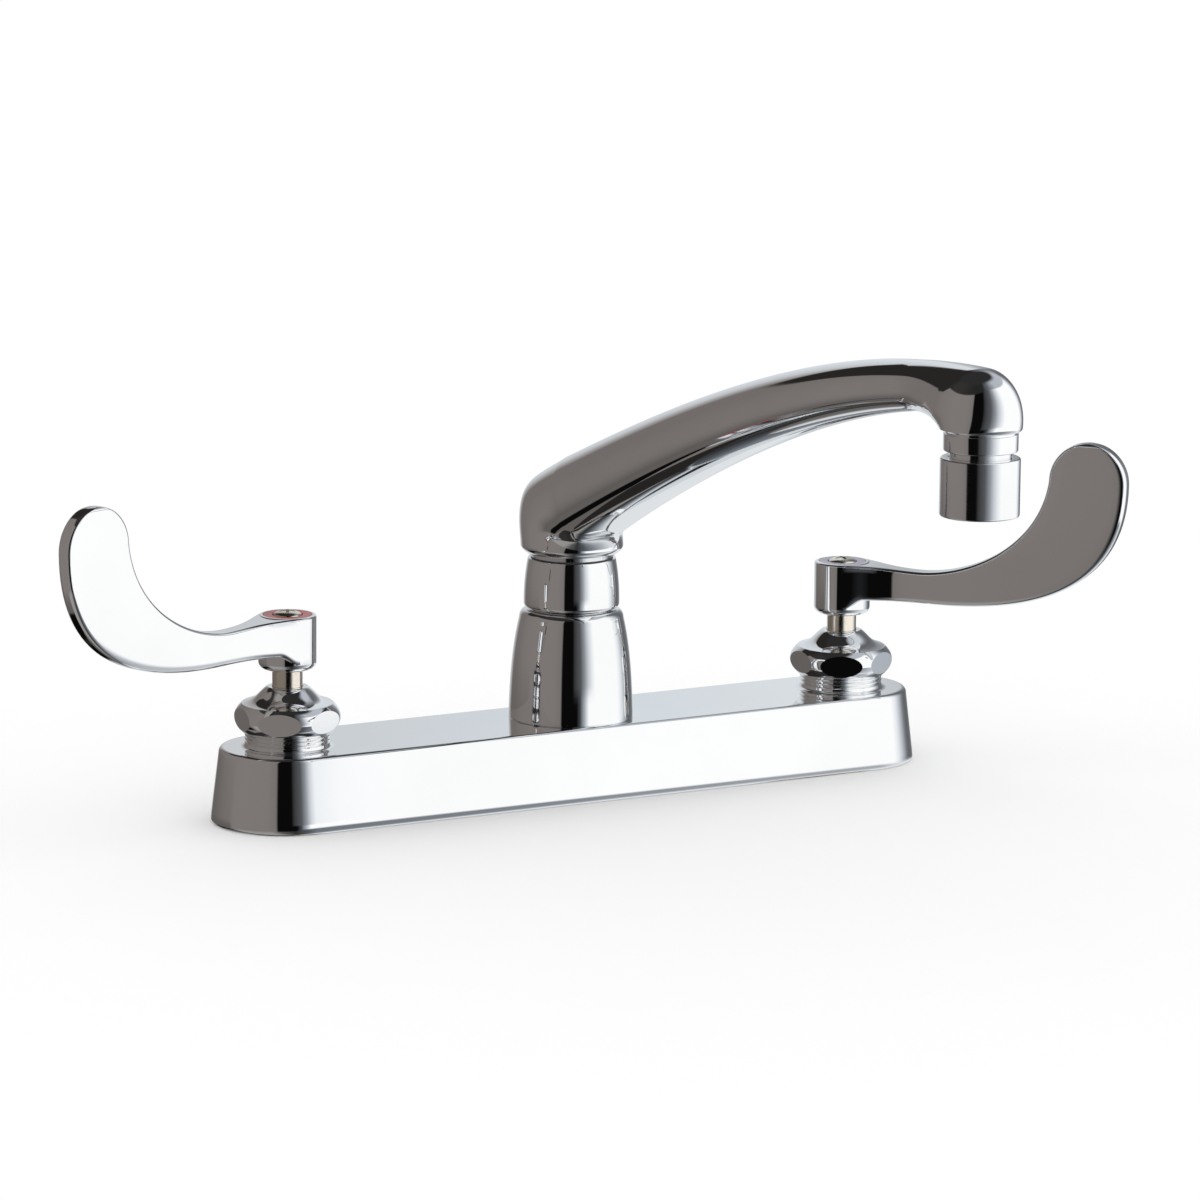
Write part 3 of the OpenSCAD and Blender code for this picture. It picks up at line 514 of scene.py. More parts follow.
def neck(side_name, x):
    """The valve's neck: a fillet on the base, then grooves of thread under the nut."""
    foot_z, fillet_z, top_z = BASE_H - NECK_SINK, BASE_H + 0.01, NUT_Z + NECK_RISE
    profile = [(CORE_R, foot_z, 0), (NECK_R + FILLET, foot_z, 0), (NECK_R + FILLET, fillet_z, 0)]
    for k in range(1, 9):
        a = math.radians(90 * k / 8)
        profile.append((NECK_R + FILLET * (1 - math.sin(a)), fillet_z + FILLET_H * (1 - math.cos(a)), 0))
    for k in range(NECK_GROOVES):
        z = BASE_H + NECK_GROOVE_Z + NECK_PITCH * k
        profile += [(NECK_R - depth, z + rise, round_r) for depth, rise, round_r in NECK_GROOVE]
    profile += [(NECK_R - 0.2, top_z, 0.3), (CORE_R, top_z, 0)]
    return lathe(f"neck_{side_name}", rounded(profile, 0), (x, 0))


casting = join(base_shell(), neck("left", -VALVE_X), neck("right", VALVE_X))
dress(casting, "cast_chrome", "chrome", "base", "faucet_body")


# Column, spout nut and glide ring

def column():
    foot_z = BASE_H + 0.02
    outline = [(POST_BORE_R - 0.1, foot_z), (POST_FOOT_R - 0.35, foot_z), (POST_FOOT_R - 0.05, BASE_H + 0.3)]
    steps = 32
    for i in range(1, steps + 1):
        t = i / steps
        r = mix(POST_FOOT_R, POST_TOP_R, 0.35 * t + 0.65 * t ** 3)
        outline.append((r, BASE_H + t * (POST_H - SHOULDER_R)))
    outline += arc(POST_TOP_R - SHOULDER_R, SHOULDER_Z - SHOULDER_R, SHOULDER_R, 5, 90, 14, first=1)
    outline += [(POST_THREAD_R + 0.2, SHOULDER_Z), (POST_THREAD_R, SHOULDER_Z + 0.3)]
    outline += [(POST_THREAD_R, POST_THREAD_TOP), (POST_BORE_R, POST_THREAD_TOP)]
    return outline


def spout_nut():
    edge_w, edge_h = 0.8, 1.1
    edge_r, edge_z = SPOUT_NUT_R - edge_w, SPOUT_NUT_Z + 0.1
    profile = [(SPOUT_NUT_BORE_R, SPOUT_NUT_Z + 0.2), (SPOUT_NUT_R - 1.5, SPOUT_NUT_Z), (edge_r, edge_z)]
    for k in range(1, 7):
        a = math.radians(90 * k / 6)
        profile.append((edge_r + edge_w * math.sin(a), edge_z + edge_h * (1 - math.cos(a))))
    steps = 24
    for i in range(1, steps + 1):
        t = i / steps
        profile.append((SPOUT_NUT_R - SPOUT_NUT_TAPER * t ** 2.2, SPOUT_NUT_Z + mix(1.2, SPOUT_NUT_H - 0.5, t)))
    profile += [(SPOUT_NUT_R - 1.32, NUT_TOP - 0.2), (SPOUT_NUT_R - 1.7, NUT_TOP)]
    profile += [(LIP_R + 0.1, NUT_TOP), (LIP_R, NUT_TOP - 0.1)]
    profile += [(LIP_R, NUT_TOP - LIP_T), (SPOUT_NUT_BORE_R, NUT_TOP - LIP_T)]
    return profile


dress(lathe("spout_column", column(), sides=224), "turned_chrome", "chrome", "base", "spout_post")
dress(lathe("column_nut", spout_nut(), sides=224), "turned_chrome", "chrome", "base", "spout_nut")
glide_r, glide_top = SPOUT_FOOT_R - 0.3, NUT_TOP + GLIDE_T
glide = rounded([(LIP_R, NUT_TOP), (glide_r, NUT_TOP), (glide_r, glide_top), (LIP_R, glide_top)], 0.2)
dress(lathe("glide_seam", glide), "acetal", "acetal", "base", "glide_ring")


# Spout: rings of (reach, height, tilt, half depth, half width, low square, top square), as in the solid

CROTCH = Vector((SPOUT_HUB_R + CROTCH_R, SPOUT_Z + FLARE_H))
DOME = Vector((REACH, SPOUT_Z + RISE))
MOUTH_ANGLE = math.asin(MOUTH_DROP / DOME_R)
MOUTH_HALF = DOME_R * math.cos(MOUTH_ANGLE)
MOUTH_Z = DOME.y - MOUTH_DROP


def sloped(angle):
    return Vector((math.cos(angle), math.sin(angle)))


def out_of(angle):
    return Vector((-math.sin(angle), math.cos(angle)))


ARM_START = CROTCH + (CROTCH_R + ARM_ROOT_R) * out_of(ROOT_SLOPE)
ARM_END = Vector((REACH - DOME_RUN, DOME.y + DOME_R - ARM_TIP_R - TIP_SINK))
ARM_LINE = (
    ARM_START, ARM_START + ARM_PULL * sloped(ROOT_SLOPE), ARM_END - ARM_PULL * sloped(TIP_SLOPE), ARM_END,
)
TOP_START = ARM_END + ARM_TIP_R * out_of(TIP_SLOPE)
TOP_CURVE = (
    TOP_START, TOP_START + TOP_PULL * sloped(TIP_SLOPE), DOME + Vector((-TOP_PULL, DOME_R)),
    DOME + Vector((0, DOME_R)),
)
LOW_START = ARM_END - ARM_TIP_R * out_of(TIP_SLOPE)
LOW_CURVE = (
    LOW_START, LOW_START + LOW_PULL * sloped(TIP_SLOPE), Vector((REACH - MOUTH_HALF - LOW_PULL, MOUTH_Z)),
    Vector((REACH - MOUTH_HALF, MOUTH_Z)),
)


def ring_between(inner, outer, half_w, low_square, top_square):
    middle, span = (inner + outer) / 2, outer - inner
    return (middle.x, middle.y, math.atan2(span.y, span.x), span.length / 2, half_w, low_square, top_square)


def foot_rings(steps):
    rings = []
    for i in range(steps):
        t = i / steps
        r = mix(SPOUT_FOOT_R, SPOUT_HUB_R, mix(t, math.sin(math.pi / 2 * t), FLARE_BULGE))
        rings.append((0, SPOUT_Z + FLARE_H * t, math.pi, r, r, 0, 0))
    return rings


def bend_rings(steps):
    """Rings that fan round the crotch, while their backs follow the hub and then the arm."""
    sweep = math.pi / 2 - ROOT_SLOPE
    rings = []
    for i in range(steps + 1):
        fan, share = sweep * i / steps, ease(i / steps)
        outward = Vector((-math.cos(fan), math.sin(fan)))
        hub_back = (CROTCH_R + 2 * SPOUT_HUB_R) / math.cos(fan)
        arm_back = (CROTCH_R + 2 * ARM_ROOT_R) / math.cos(sweep - fan)
        far = mix(soft_min(hub_back, arm_back, BEND_POWER), arm_back, share)
        rings.append(ring_between(CROTCH + CROTCH_R * outward, CROTCH + far * outward,
                                  mix(SPOUT_HUB_R, ARM_ROOT_R, share), LOW_SQUARE * share, TOP_SQUARE * share))
    return rings


def arm_rings(steps):
    rings = []
    for i in range(1, steps + 1):
        t = i / steps
        at = bezier(ARM_LINE, t)
        ahead = bezier(ARM_LINE, t + 0.001) - bezier(ARM_LINE, t - 0.001)
        tilt = math.pi / 2 + math.atan2(ahead.y, ahead.x)
        r = mix(ARM_ROOT_R, ARM_TIP_R, t ** TAPER_POWER)
        rings.append((at.x, at.y, tilt, r, r, LOW_SQUARE, TOP_SQUARE * (1 - t)))
    return rings


def end_rings(steps):
    """Rings that fan from the arm's end to the mouth, along its top and round the dome."""
    rings = []
    for i in range(1, steps + 1):
        t = i / steps
        share = ease(t * WIDEN_RATE)
        if t < TOP_SHARE:
            outer = bezier(TOP_CURVE, t / TOP_SHARE)
        else:
            outer = DOME + DOME_R * sloped(mix(math.pi / 2, -MOUTH_ANGLE, (t - TOP_SHARE) / (1 - TOP_SHARE)))
        rings.append(ring_between(bezier(LOW_CURVE, t), outer, mix(ARM_TIP_R, MOUTH_HALF, share),
                                  LOW_SQUARE * (1 - share), 0))
    return rings


def ring_points(ring, sides=96):
    """A ring's points. Its lower and upper half are ellipses or squarer, by their own powers."""
    reach, height, tilt, deep, wide, low_square, top_square = ring
    points = []
    for j in range(sides):
        a = 2 * math.pi * j / sides
        power = 2 + (top_square if math.cos(a) > 0 else low_square)
        pull = (abs(math.cos(a)) ** power + abs(math.sin(a)) ** power) ** (-1 / power)
        pull *= 1 - SQUARE_TRIM * low_square
        d = deep * pull * math.cos(a)
        points.append((wide * pull * math.sin(a), -(reach + d * math.cos(tilt)), height + d * math.sin(tilt)))
    return points


def lifted(ring, rise, grow):
    """A round ring moved up and grown."""
    return (ring[0], ring[1] + rise, ring[2], ring[3] + grow, ring[4] + grow, 0, 0)


def spout():
    rings = foot_rings(12) + bend_rings(40) + arm_rings(72) + end_rings(56)
    foot, mouth = rings[0], rings[-1]
    rings[0] = lifted(foot, -FOOT_SKIRT / 2, 0.02)
    rings[-1] = lifted(mouth, MOUTH_ROUND, 0.02)
    rings = [lifted(foot, -FOOT_SKIRT, -0.2)] + rings + [lifted(mouth, 0, -MOUTH_ROUND)]
    return skin("spout_casting", [ring_points(r) for r in rings], sharp=40)


dress(spout(), "cast_chrome", "chrome", "spout_arm", "spout")


# Outlet

RING_TOP = MOUTH_Z - WASHER_STEP
RING_Z = RING_TOP - ADAPTER_H
AERATOR_TOP = RING_Z - ADAPTER_GAP
AERATOR_Z = AERATOR_TOP - AERATOR_H
OUTLET = (0, -REACH)

adapter = rounded([
    (ADAPTER_BORE_R, AERATOR_Z + NIPPLE_FOOT, 0), (NIPPLE_R, AERATOR_Z + NIPPLE_FOOT, 0),
    (NIPPLE_R, RING_Z, 0.1), (ADAPTER_R, RING_Z, 0.5), (ADAPTER_R, RING_TOP, 0.5),
    (ADAPTER_R - 0.6, RING_TOP, 0), (ADAPTER_R - 0.6, MOUTH_Z, 0), (NIPPLE_R, MOUTH_Z, 0),
    (NIPPLE_R, MOUTH_Z + NIPPLE_RISE, 0.4), (ADAPTER_BORE_R, MOUTH_Z + NIPPLE_RISE, 0),
], 0.2)
dress(lathe("outlet_ring", adapter, OUTLET), "turned_chrome", "chrome", "spout_arm", "outlet_adapter")

housing = rounded([
    (MOUTH_R, AERATOR_Z, 0.5), (AERATOR_R, AERATOR_Z, 0.7), (AERATOR_R, AERATOR_TOP, 0.7),
    (HOUSING_BORE_R, AERATOR_TOP, 0.2), (HOUSING_BORE_R, AERATOR_Z + MOUTH_DEPTH, 0),
    (MOUTH_R, AERATOR_Z + MOUTH_DEPTH, 0),
], 0.2, steps=7)
dress(lathe("aerator_body", housing, OUTLET), "satin_chrome", "chrome_soft", "spout_arm", "aerator_housing")


# Valves

def bonnet(side_name, x, nut_turn):
    """A nut whose bulged waist is cut by a hexagon, with a hollowed cone on it."""
    steps = 32
    hex_top = NUT_Z + NUT_HEX_H
    waist = [(CORE_R, NUT_Z)]
    for i in range(steps + 1):
        t = i / steps
        waist.append((NUT_R - (NUT_R - NUT_EDGE_R) * (2 * t - 1) ** 2, NUT_Z + NUT_HEX_H * t))
    waist.append((CORE_R, hex_top))
    body = lathe(f"bonnet_{side_name}", waist, sides=256)
    combine(body, hex_prism(NUT_FLATS, NUT_Z, hex_top, nut_turn), "INTERSECT")
    inner_r, hollow_r, foot_r = STEM_R + 0.15, NUT_EDGE_R - 1.2, NUT_EDGE_R - 0.25
    cone = [(inner_r, FLANGE_TOP), (hollow_r, FLANGE_TOP), (hollow_r, hex_top - 0.3)]
    for i in range(steps, -1, -1):
        t = i / steps
        r = CONE_R + (CONE_FOOT_R - CONE_R) * t ** 0.8 + (foot_r - CONE_FOOT_R) * t ** 6
        cone.append((r, hex_top + 0.02 + NUT_CONE_H * (1 - t)))
    cone.append((inner_r, hex_top + NUT_CONE_H))
    join(body, lathe("cone", cone, sides=256))
    return place(smooth(body, sharp=14), 0, x)


def edge_ring(low, high, half, round_r, corner=6, flat=5):
    """A rounded rectangle that stands between a lower and an upper point, with points along its flats."""
    middle, span = (low + high) / 2, high - low
    tall = span.length / 2
    along = span / (2 * tall)
    r = min(round_r, 0.96 * min(tall, half))

    def on_corner(quarter, share):
        a = math.radians(90 * (quarter + share))
        up_side = 1 if quarter in (0, 3) else -1
        over_side = 1 if quarter < 2 else -1
        return Vector((up_side * (tall - r) + r * math.cos(a), over_side * (half - r) + r * math.sin(a)))

    outline = []
    for quarter in range(4):
        outline += [on_corner(quarter, i / corner) for i in range(corner + 1)]
        start, end = outline[-1], on_corner((quarter + 1) % 4, 0)
        for i in range(1, flat):
            t = i / flat
            outline.append(start.lerp(end, ease(t) * 0.6 + t * 0.4))
    ring = []
    for up, over in outline:
        at = middle + up * along
        ring.append((at.x, over, at.y))
    return ring


# The handle's lower and upper edge from the arm to the paddle, as (out, height)
ARM_TOP = HUB_TOP - ARM_DROP
LOWER_CURVE = (
    Vector((ARM_OUT, ARM_Z)), Vector((ARM_OUT + LOWER_PULL[0], ARM_Z)),
    Vector((PADDLE.x + PADDLE_R, PADDLE.y - LOWER_PULL[1])), Vector((PADDLE.x + PADDLE_R, PADDLE.y)),
)
UPPER_CURVE = (
    Vector((ARM_OUT, ARM_TOP)), Vector((ARM_OUT + UPPER_PULL[0], ARM_TOP)),
    Vector((PADDLE.x - PADDLE_R - PADDLE_NARROW, PADDLE.y - UPPER_PULL[1])),
    Vector((PADDLE.x - PADDLE_R, PADDLE.y)),
)
FLARE_START = HUB_R * math.sin(FLARE_ANGLE)


def arm_width(out):
    """Half the arm's width: it leaves the round hub along its tangent and runs smoothly into the blade."""
    flare = HUB_R * math.cos(FLARE_ANGLE) - (out - FLARE_START) * math.tan(FLARE_ANGLE)
    trim = FLARE_TRIM * (1 - ease((out - FLARE_START) / HUB_R))
    share = ease((out - FLARE_START) / (ARM_OUT - FLARE_START))
    return mix(soft_max(ARM_HALF, flare, FLARE_BLEND) - trim, ARM_HALF, share)


def handle_rings():
    """Rings of the arm, then of the blade, then of the paddle's round end."""
    arm_steps, blade_steps, paddle_steps = 48, 48, 24
    rings = []
    for i in range(arm_steps + 1):
        t = (i / arm_steps) ** 1.6
        out = mix(FLARE_START, ARM_OUT, t)
        low = ARM_Z - WEB_DROP * (1 - ease((out - FLARE_START) / WEB_RUN))
        high = HUB_TOP - mix(ARM_ROOT_DROP, ARM_DROP, ease(t))
        round_r = mix(ARM_ROOT_ROUND, BLADE_ROUND, t)
        rings.append(edge_ring(Vector((out, low)), Vector((out, high)), arm_width(out), round_r))
    for i in range(1, blade_steps + 1):
        t = i / blade_steps
        side = mix(ARM_HALF, BLADE_HALF, ease(t))
        rings.append(edge_ring(bezier(LOWER_CURVE, t), bezier(UPPER_CURVE, t), side, BLADE_ROUND))
    for i in range(1, paddle_steps + 1):
        a = math.radians(PADDLE_END * math.sin(math.pi / 2 * i / paddle_steps))
        chord = Vector((PADDLE_R * math.cos(a), 0))
        up = Vector((0, PADDLE_R * math.sin(a)))
        left_over = min(BLADE_ROUND, PADDLE_R * (1 - math.sin(a)))
        side = BLADE_HALF - BLADE_ROUND + math.sqrt(BLADE_ROUND ** 2 - (BLADE_ROUND - left_over) ** 2)
        rings.append(edge_ring(PADDLE + up + chord, PADDLE + up - chord, side, BLADE_ROUND))
    return rings


def handle(side_name, turn, x):
    profile = [(HUB_BORE_R, HUB_Z), (HUB_R - HUB_EDGE_R, HUB_Z)]
    profile += arc(HUB_R - HUB_EDGE_R, HUB_Z + HUB_EDGE_R, HUB_EDGE_R, -90, 0, 12, first=1)
    profile.append((HUB_R, HUB_TOP - HUB_RIM_R))
    profile += arc(HUB_R - HUB_RIM_R, HUB_TOP - HUB_RIM_R, HUB_RIM_R, 0, 90, 8, first=1)
    profile.append((HUB_BORE_R, HUB_TOP))
    hub = lathe(f"handle_{side_name}", profile)
    combine(hub, skin("arm", handle_rings()), "UNION")
    seat_r, floor_z, open_z = INDEX_R + FIT_GAP, HUB_TOP - INDEX_T, HUB_TOP + 2
    seat = lathe("seat", [(ON_AXIS, floor_z), (seat_r, floor_z), (seat_r, open_z), (ON_AXIS, open_z)])
    combine(hub, seat, "DIFFERENCE")
    return place(smooth(hub, sharp=25), turn, x)


def screw(side_name, turn, x):
    """A screw with a domed head and a cross slot, on the floor of the index ring's seat."""
    seat_z = HUB_TOP - INDEX_T
    shaft_r, shaft_drop, rim_h, dome_z, dome_h = 2, 2, 0.75, 0.8, 1.4
    head = [(ON_AXIS, seat_z - shaft_drop), (shaft_r, seat_z - shaft_drop), (shaft_r, seat_z),
            (SCREW_HEAD_R, seat_z), (SCREW_HEAD_R, seat_z + rim_h)]
    for i in range(1, 13):
        a = math.radians(90 * i / 12)
        head.append((max(ON_AXIS, SCREW_HEAD_R * math.cos(a)), seat_z + dome_z + dome_h * math.sin(a)))
    body = lathe(f"screw_{side_name}", head, sides=96)
    half_l, half_w, slot_z, open_z = SCREW_HEAD_R * 0.55, 0.5, seat_z + 1.0, seat_z + 4
    for angle in (45, 135):
        corners = [(sx * half_l, sy * half_w, z) for z in (slot_z, open_z) for sx, sy in SQUARE]
        cutter = place(make_object("slot", corners, ring_faces(2, 4)), math.radians(angle))
        combine(body, cutter, "DIFFERENCE")
    return place(smooth(body, sharp=25), turn, x)


def index_ring(side_name, x):
    inner_r, floor_z = SCREW_HEAD_R + FACE_GAP, HUB_TOP - INDEX_T
    ring = rounded([(inner_r, floor_z), (INDEX_R, floor_z), (INDEX_R, HUB_TOP), (inner_r, HUB_TOP)], 0.2)
    return lathe(f"index_{side_name}", ring, (x, 0))


def threaded_shank(side_name, x):
    """A tube with a helical thread on its outside, from under the base to its lower end."""
    sides, levels_per_turn = 72, 8
    length = SHANK_DROP + SHANK_TOP
    levels = int(length / (THREAD_PITCH / levels_per_turn))
    rings = [[(*at, z) for at in circle(SHANK_BORE_R, sides)] for z in (SHANK_TOP, -SHANK_DROP)]
    for i in range(levels + 1):
        z = -SHANK_DROP + length * i / levels
        ring = []
        for j in range(sides):
            turn = j / sides
            phase = (z / THREAD_PITCH - turn) % 1
            depth = THREAD_DEPTH * (1 - abs(2 * phase - 1)) ** 0.8
            chamfer = max(0.0, THREAD_CHAMFER - (z + SHANK_DROP))
            relief = RELIEF_D if RELIEF_TOP - RELIEF_W < z < RELIEF_TOP else 0.0
            r = SHANK_R - max(depth, chamfer, relief)
            a = 2 * math.pi * turn
            ring.append((r * math.cos(a), r * math.sin(a), z))
        rings.append(ring)
    points = [p for ring in rings for p in ring]
    obj = make_object(f"thread_{side_name}", points, ring_faces(len(rings), sides, wrap=True), sharp=40)
    return place(obj, 0, x)


def locknut(side_name, x):
    high, low = -CLAMP_SPACE, -CLAMP_SPACE - LOCKNUT_T
    flat_r, bore_r = LOCKNUT_FLATS / 2, SHANK_R + FIT_GAP
    corner = flat_r / math.cos(math.pi / 6)
    chamfered = [(bore_r, low), (flat_r, low), (corner, low + LOCKNUT_BEVEL), (corner, high - LOCKNUT_BEVEL),
                 (flat_r, high), (bore_r, high)]
    body = lathe(f"locknut_{side_name}", chamfered, sides=128)
    combine(body, hex_prism(LOCKNUT_FLATS, low, high), "INTERSECT")
    return place(smooth(body, sharp=20), 0, x)


for side_name, x, turn, nut_turn, index_look in (
    ("left", -VALVE_X, math.pi + LEFT_REST, LEFT_NUT_TURN, "index_red"),
    ("right", VALVE_X, -RIGHT_REST, RIGHT_NUT_TURN, "index_grey"),
):
    lever = f"{side_name}_lever"
    dress(bonnet(side_name, x, nut_turn), "turned_chrome", "chrome", "base", f"{side_name}_bonnet_nut")
    dress(handle(side_name, turn, x), "cast_chrome", "chrome", lever, f"{side_name}_handle")
    dress(screw(side_name, turn, x), "nickel", "nickel", lever, f"{side_name}_handle_screw")
    dress(index_ring(side_name, x), index_look, index_look, lever, f"{side_name}_index_ring")
    dress(threaded_shank(side_name, x), "brass", "brass", "base", f"{side_name}_shank")
    dress(locknut(side_name, x), "brass", "brass", "base", f"{side_name}_locknut")

# Nodes kept from the solids take the look of their slot

slots = {part["node"]: part["material_slot"] for part in frame["record"]["subparts"]}
for name, obj in frame["nodes"].items():
    wear(obj, LOOK_OF_SLOT.get(slots[name], slots[name]))


# Camera, at the photo's angle. DISTANCE is to the origin, which the photo shows at the centre values.

TURN, DIP, ROLL = math.radians(29.14), math.radians(11.06), math.radians(0.52)
DISTANCE, FOCAL_PX, CENTRE_X, CENTRE_Y = 2038.09, 6309.04, 569.95, 787.58
PHOTO_PX = 1200
SENSOR = 36
ahead = Vector((math.sin(TURN) * math.cos(DIP), math.cos(TURN) * math.cos(DIP), -math.sin(DIP)))
level = Vector((math.cos(TURN), -math.sin(TURN), 0))
upright = level.cross(ahead)
right = level * math.cos(ROLL) + upright * math.sin(ROLL)
up = upright * math.cos(ROLL) - level * math.sin(ROLL)
aside = (CENTRE_X - PHOTO_PX / 2) * DISTANCE / FOCAL_PX
above = (CENTRE_Y - PHOTO_PX / 2) * DISTANCE / FOCAL_PX
spot = -ahead * DISTANCE - right * aside + up * above
camera = bpy.data.objects.new("camera", bpy.data.cameras.new("camera"))
scene.collection.objects.link(camera)
camera.data.sensor_width = SENSOR
camera.data.lens = FOCAL_PX * SENSOR / PHOTO_PX
camera.data.clip_start, camera.data.clip_end = 0.01, 50
camera.matrix_world = Matrix((
    (right.x, up.x, -ahead.x, spot.x * MM),
    (right.y, up.y, -ahead.y, spot.y * MM),
    (right.z, up.z, -ahead.z, spot.z * MM),
    (0, 0, 0, 1),
))
scene.camera = camera


# Studio: a white room, a pale floor, and a shell of cards that only the chrome reflects

def maths(tree, operation, *values):
    made = node(tree, "ShaderNodeMath", operation=operation)
    for socket, value in zip(made.inputs, values):
        if isinstance(value, (int, float)):
            socket.default_value = value
        else:
            tree.links.new(value, socket)
    return made.outputs[0]


def fade(tree, value, off, on):
    """0 on one side of off, 1 on the other side of on, and smooth between them."""
    made = node(tree, "ShaderNodeMapRange", {"From Min": off, "From Max": on}, interpolation_type="SMOOTHSTEP")
    tree.links.new(value, made.inputs["Value"])
    return made.outputs["Result"]


def between(tree, value, off_low, on_low, on_high, off_high):
    """1 between the two inner values and 0 outside the outer ones."""
    return maths(tree, "MULTIPLY", fade(tree, value, off_low, on_low), fade(tree, value, off_high, on_high))


def lay_over(tree, below, above, mask):
    """One colour over another where the mask is 1. above is a socket or a plain colour."""
    made = node(tree, "ShaderNodeMix", data_type="RGBA")
    factor, a, b = made.inputs[0], made.inputs[6], made.inputs[7]
    tree.links.new(mask, factor)
    tree.links.new(below, a)
    if isinstance(above, tuple):
        b.default_value = (*above, 1)
    else:
        tree.links.new(above, b)
    return made.outputs[2]


def on_round(degrees):
    """A direction in degrees right of the camera, from -180 to 180, as a place from 0 to 1."""
    return (degrees + 180) / 360


def round_stops(*stops):
    return [(on_round(degrees), colour) for degrees, colour in stops]


# Cards by direction in degrees right of the camera. Level ones stand at the height of the object.

WHITE = (1.06, 1.06, 1.06)
BLACK = (0.003, 0.003, 0.003)
BEHIND = (0.68, 0.73, 0.77)
LEFT_CARDS = (
    (-180, BEHIND), (-162, (0.58, 0.60, 0.62)), (-151, (0.38, 0.365, 0.36)), (-142, (0.18, 0.163, 0.157)),
    (-125, (0.18, 0.163, 0.156)), (-105, (0.205, 0.186, 0.177)), (-66, (0.22, 0.20, 0.19)),
    (-30, (0.215, 0.196, 0.187)), (-18, (0.19, 0.173, 0.165)), (-16, BLACK),
)
RIGHT_CARDS = (
    (97, WHITE), (107, (0.84, 0.87, 0.90)), (118, (0.46, 0.49, 0.54)), (127, (0.20, 0.21, 0.23)),
    (136, (0.12, 0.125, 0.135)), (152, (0.17, 0.175, 0.185)), (162, (0.34, 0.36, 0.38)),
    (170, (0.72, 0.76, 0.79)), (180, BEHIND),
)
LEVEL_CARDS = round_stops(
    *LEFT_CARDS, (4, BLACK), (8, (0.04, 0.041, 0.043)), (19, (0.095, 0.10, 0.108)), (27, (0.30, 0.32, 0.35)),
    (34, (0.62, 0.65, 0.69)), (41, (0.88, 0.91, 0.94)), (47, WHITE), *RIGHT_CARDS,
)
# A little lower the black one ends further right, and the white one begins earlier
LOW_LEVEL_CARDS = round_stops(
    *LEFT_CARDS, (12, BLACK), (18, (0.06, 0.065, 0.072)), (26, (0.42, 0.46, 0.51)), (34, WHITE), *RIGHT_CARDS,
)
LOW_LEFT = (0.108, 0.098, 0.093)
UPPER_CARDS = round_stops(
    (-180, (0.022, 0.020, 0.018)), (-115, (0.022, 0.020, 0.018)), (-90, (0.035, 0.032, 0.030)),
    (-60, (0.035, 0.032, 0.030)), (-20, (0.02, 0.02, 0.02)), (6, (0.02, 0.02, 0.02)),
    (22, (0.13, 0.14, 0.16)), (45, (0.46, 0.49, 0.54)), (115, (0.50, 0.53, 0.58)), (150, (0.24, 0.25, 0.27)),
    (180, (0.03, 0.027, 0.025)),
)
OVERHEAD = (0.026, 0.026, 0.027)
LOWER_CARDS = round_stops(
    (-180, (0.74, 0.77, 0.79)), (-158, (0.66, 0.69, 0.71)), (-146, (0.18, 0.17, 0.165)),
    (-130, (0.125, 0.113, 0.106)), (-85, (0.125, 0.113, 0.106)), (-70, (0.34, 0.33, 0.32)),
    (-25, (0.30, 0.29, 0.28)), (-10, (0.10, 0.10, 0.10)), (8, (0.03, 0.03, 0.03)), (30, (0.09, 0.10, 0.115)),
    (55, (0.24, 0.26, 0.29)), (100, (0.70, 0.73, 0.76)), (140, (0.84, 0.87, 0.89)), (180, (0.74, 0.77, 0.79)),
)
# The height in degrees of the upper cards' lower edge, held on a ramp as a share of EDGE_SCALE
EDGE_SCALE = 60
UPPER_EDGE = round_stops(*((degrees, (height / EDGE_SCALE,) * 3) for degrees, height in (
    (-180, 42), (-160, 40), (-150, 33), (-140, 26), (-128, 24), (-114, 29), (-104, 41), (-20, 42), (20, 46),
    (180, 42),
)))
# Heights in degrees between which cards fade in. The upper ones' count from their edge, and the lower ones
# begin higher on the right by RIGHT_LIFT.
LOW_LEVEL_FADE = (-9, -13)
LOW_LEFT_FADE = (-6, -26)
EDGE_FADE = (-1.5, 1.5)
OVERHEAD_FADE = (58, 68)
LOWER_FADE = (-21, -25)
RIGHT_LIFT = 2.5
# Where the low left cards, the lifted right ones and a dark line low on the left fade in and out
LEFT_SPAN = (-151.2, -144, -86.4, -79.2)
RIGHT_SPAN = (7.2, 21.6, 129.6, 172.8)
LINE_HEIGHTS = (-44, -42, -33, -31)

SHELL_R = 560
SHELL_Z = 90
FLOOR_HALF = 8000
FLOOR_TONE = 0.95
FLOOR_GLOW = 0.06


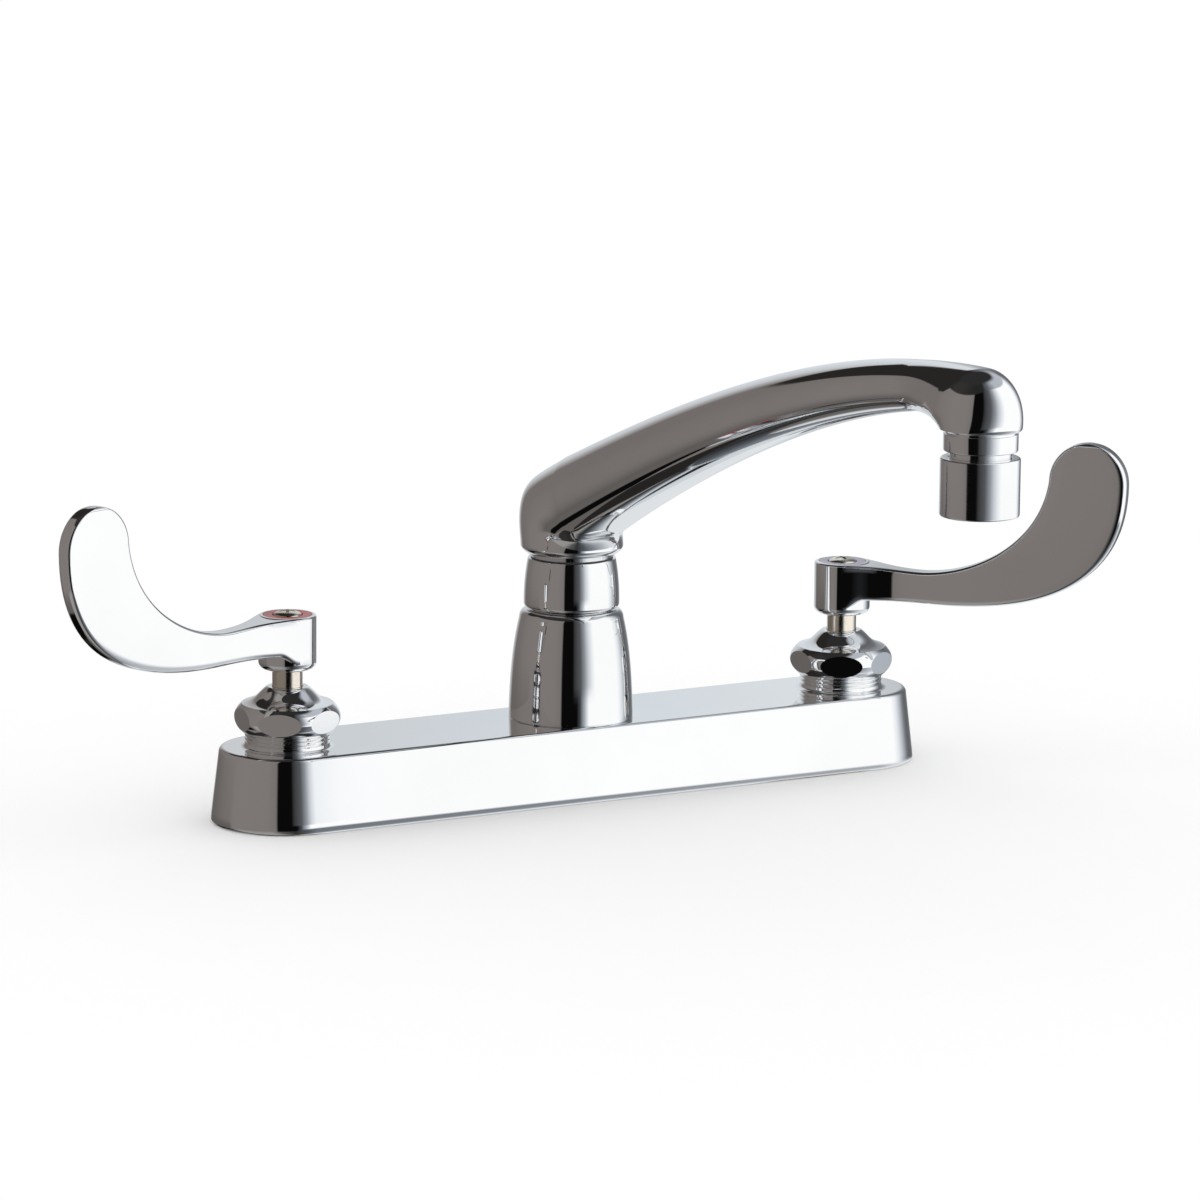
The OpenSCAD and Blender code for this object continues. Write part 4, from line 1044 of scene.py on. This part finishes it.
def card_colour(tree):
    """The cards' colours, laid over each other by direction from the shell's middle."""
    where = node(tree, "ShaderNodeTexCoord")
    unit = node(tree, "ShaderNodeVectorMath", operation="NORMALIZE")
    tree.links.new(where.outputs["Object"], unit.inputs[0])
    split = node(tree, "ShaderNodeSeparateXYZ")
    tree.links.new(unit.outputs[0], split.inputs[0])
    x, y, z = split.outputs
    cos_turn, sin_turn = math.cos(TURN), math.sin(TURN)
    over = maths(tree, "ADD", maths(tree, "MULTIPLY", x, cos_turn), maths(tree, "MULTIPLY", y, -sin_turn))
    near = maths(tree, "ADD", maths(tree, "MULTIPLY", x, -sin_turn), maths(tree, "MULTIPLY", y, -cos_turn))
    share = maths(tree, "MULTIPLY_ADD", maths(tree, "ARCTAN2", over, near), 0.5 / math.pi, 0.5)
    height = maths(tree, "MULTIPLY", maths(tree, "ARCSINE", z), 180 / math.pi)
    left = between(tree, share, *map(on_round, LEFT_SPAN))
    right = between(tree, share, *map(on_round, RIGHT_SPAN))

    low_level = ramp(tree, share, LOW_LEVEL_CARDS)
    colour = lay_over(tree, ramp(tree, share, LEVEL_CARDS), low_level, fade(tree, height, *LOW_LEVEL_FADE))
    colour = lay_over(tree, colour, LOW_LEFT, maths(tree, "MULTIPLY", left, fade(tree, height, *LOW_LEFT_FADE)))
    over_edge = maths(tree, "MULTIPLY_ADD", ramp(tree, share, UPPER_EDGE), -EDGE_SCALE, height)
    colour = lay_over(tree, colour, ramp(tree, share, UPPER_CARDS), fade(tree, over_edge, *EDGE_FADE))
    colour = lay_over(tree, colour, OVERHEAD, fade(tree, height, *OVERHEAD_FADE))
    under_edge = maths(tree, "MULTIPLY_ADD", right, -RIGHT_LIFT, height)
    colour = lay_over(tree, colour, ramp(tree, share, LOWER_CARDS), fade(tree, under_edge, *LOWER_FADE))
    line = between(tree, height, *LINE_HEIGHTS)
    return lay_over(tree, colour, BLACK, maths(tree, "MULTIPLY", line, left))


def card_shell():
    """A sphere round the object that glossy rays alone see."""
    steps, rows = 64, 32
    points = []
    for i in range(rows + 1):
        e = math.pi * (i / rows - 0.5)
        points += [(*at, SHELL_R * math.sin(e)) for at in circle(SHELL_R * math.cos(e), steps)]
    obj = make_object("card_shell", points, ring_faces(rows + 1, steps, caps=False))
    obj.location = (0, 0, SHELL_Z * MM)
    material = bpy.data.materials.new("cards")
    material.use_nodes = True
    tree = material.node_tree
    tree.nodes.clear()
    glow = node(tree, "ShaderNodeEmission")
    tree.links.new(card_colour(tree), glow.inputs["Color"])
    out = node(tree, "ShaderNodeOutputMaterial")
    tree.links.new(glow.outputs[0], out.inputs["Surface"])
    obj.data.materials.append(material)
    obj.visible_camera = False
    obj.visible_diffuse = False
    obj.visible_transmission = False
    obj.visible_shadow = False


def studio():
    world = bpy.data.worlds.new("studio")
    scene.world = world
    world.use_nodes = True
    background = world.node_tree.nodes["Background"]
    background.inputs["Color"].default_value = (1, 1, 1, 1)
    background.inputs["Strength"].default_value = 1.0


def floor():
    """The deck. The chrome doesn't show it, since the shell holds what lies under the object."""
    corners = [(sx * FLOOR_HALF, sy * FLOOR_HALF, 0) for sx, sy in SQUARE]
    obj = make_object("floor", corners, [(0, 1, 2, 3)])
    material = bpy.data.materials.new("floor")
    material.use_nodes = True
    tree = material.node_tree
    shader = node(tree, "ShaderNodeBsdfDiffuse", {"Color": (FLOOR_TONE, FLOOR_TONE, FLOOR_TONE, 1)})
    glow = node(tree, "ShaderNodeEmission", {"Strength": FLOOR_GLOW})
    both = node(tree, "ShaderNodeAddShader")
    tree.links.new(shader.outputs[0], both.inputs[0])
    tree.links.new(glow.outputs[0], both.inputs[1])
    tree.links.new(both.outputs[0], tree.nodes["Material Output"].inputs["Surface"])
    obj.data.materials.append(material)
    obj.visible_glossy = False


card_shell()
studio()
floor()
scene.view_settings.view_transform = "Standard"
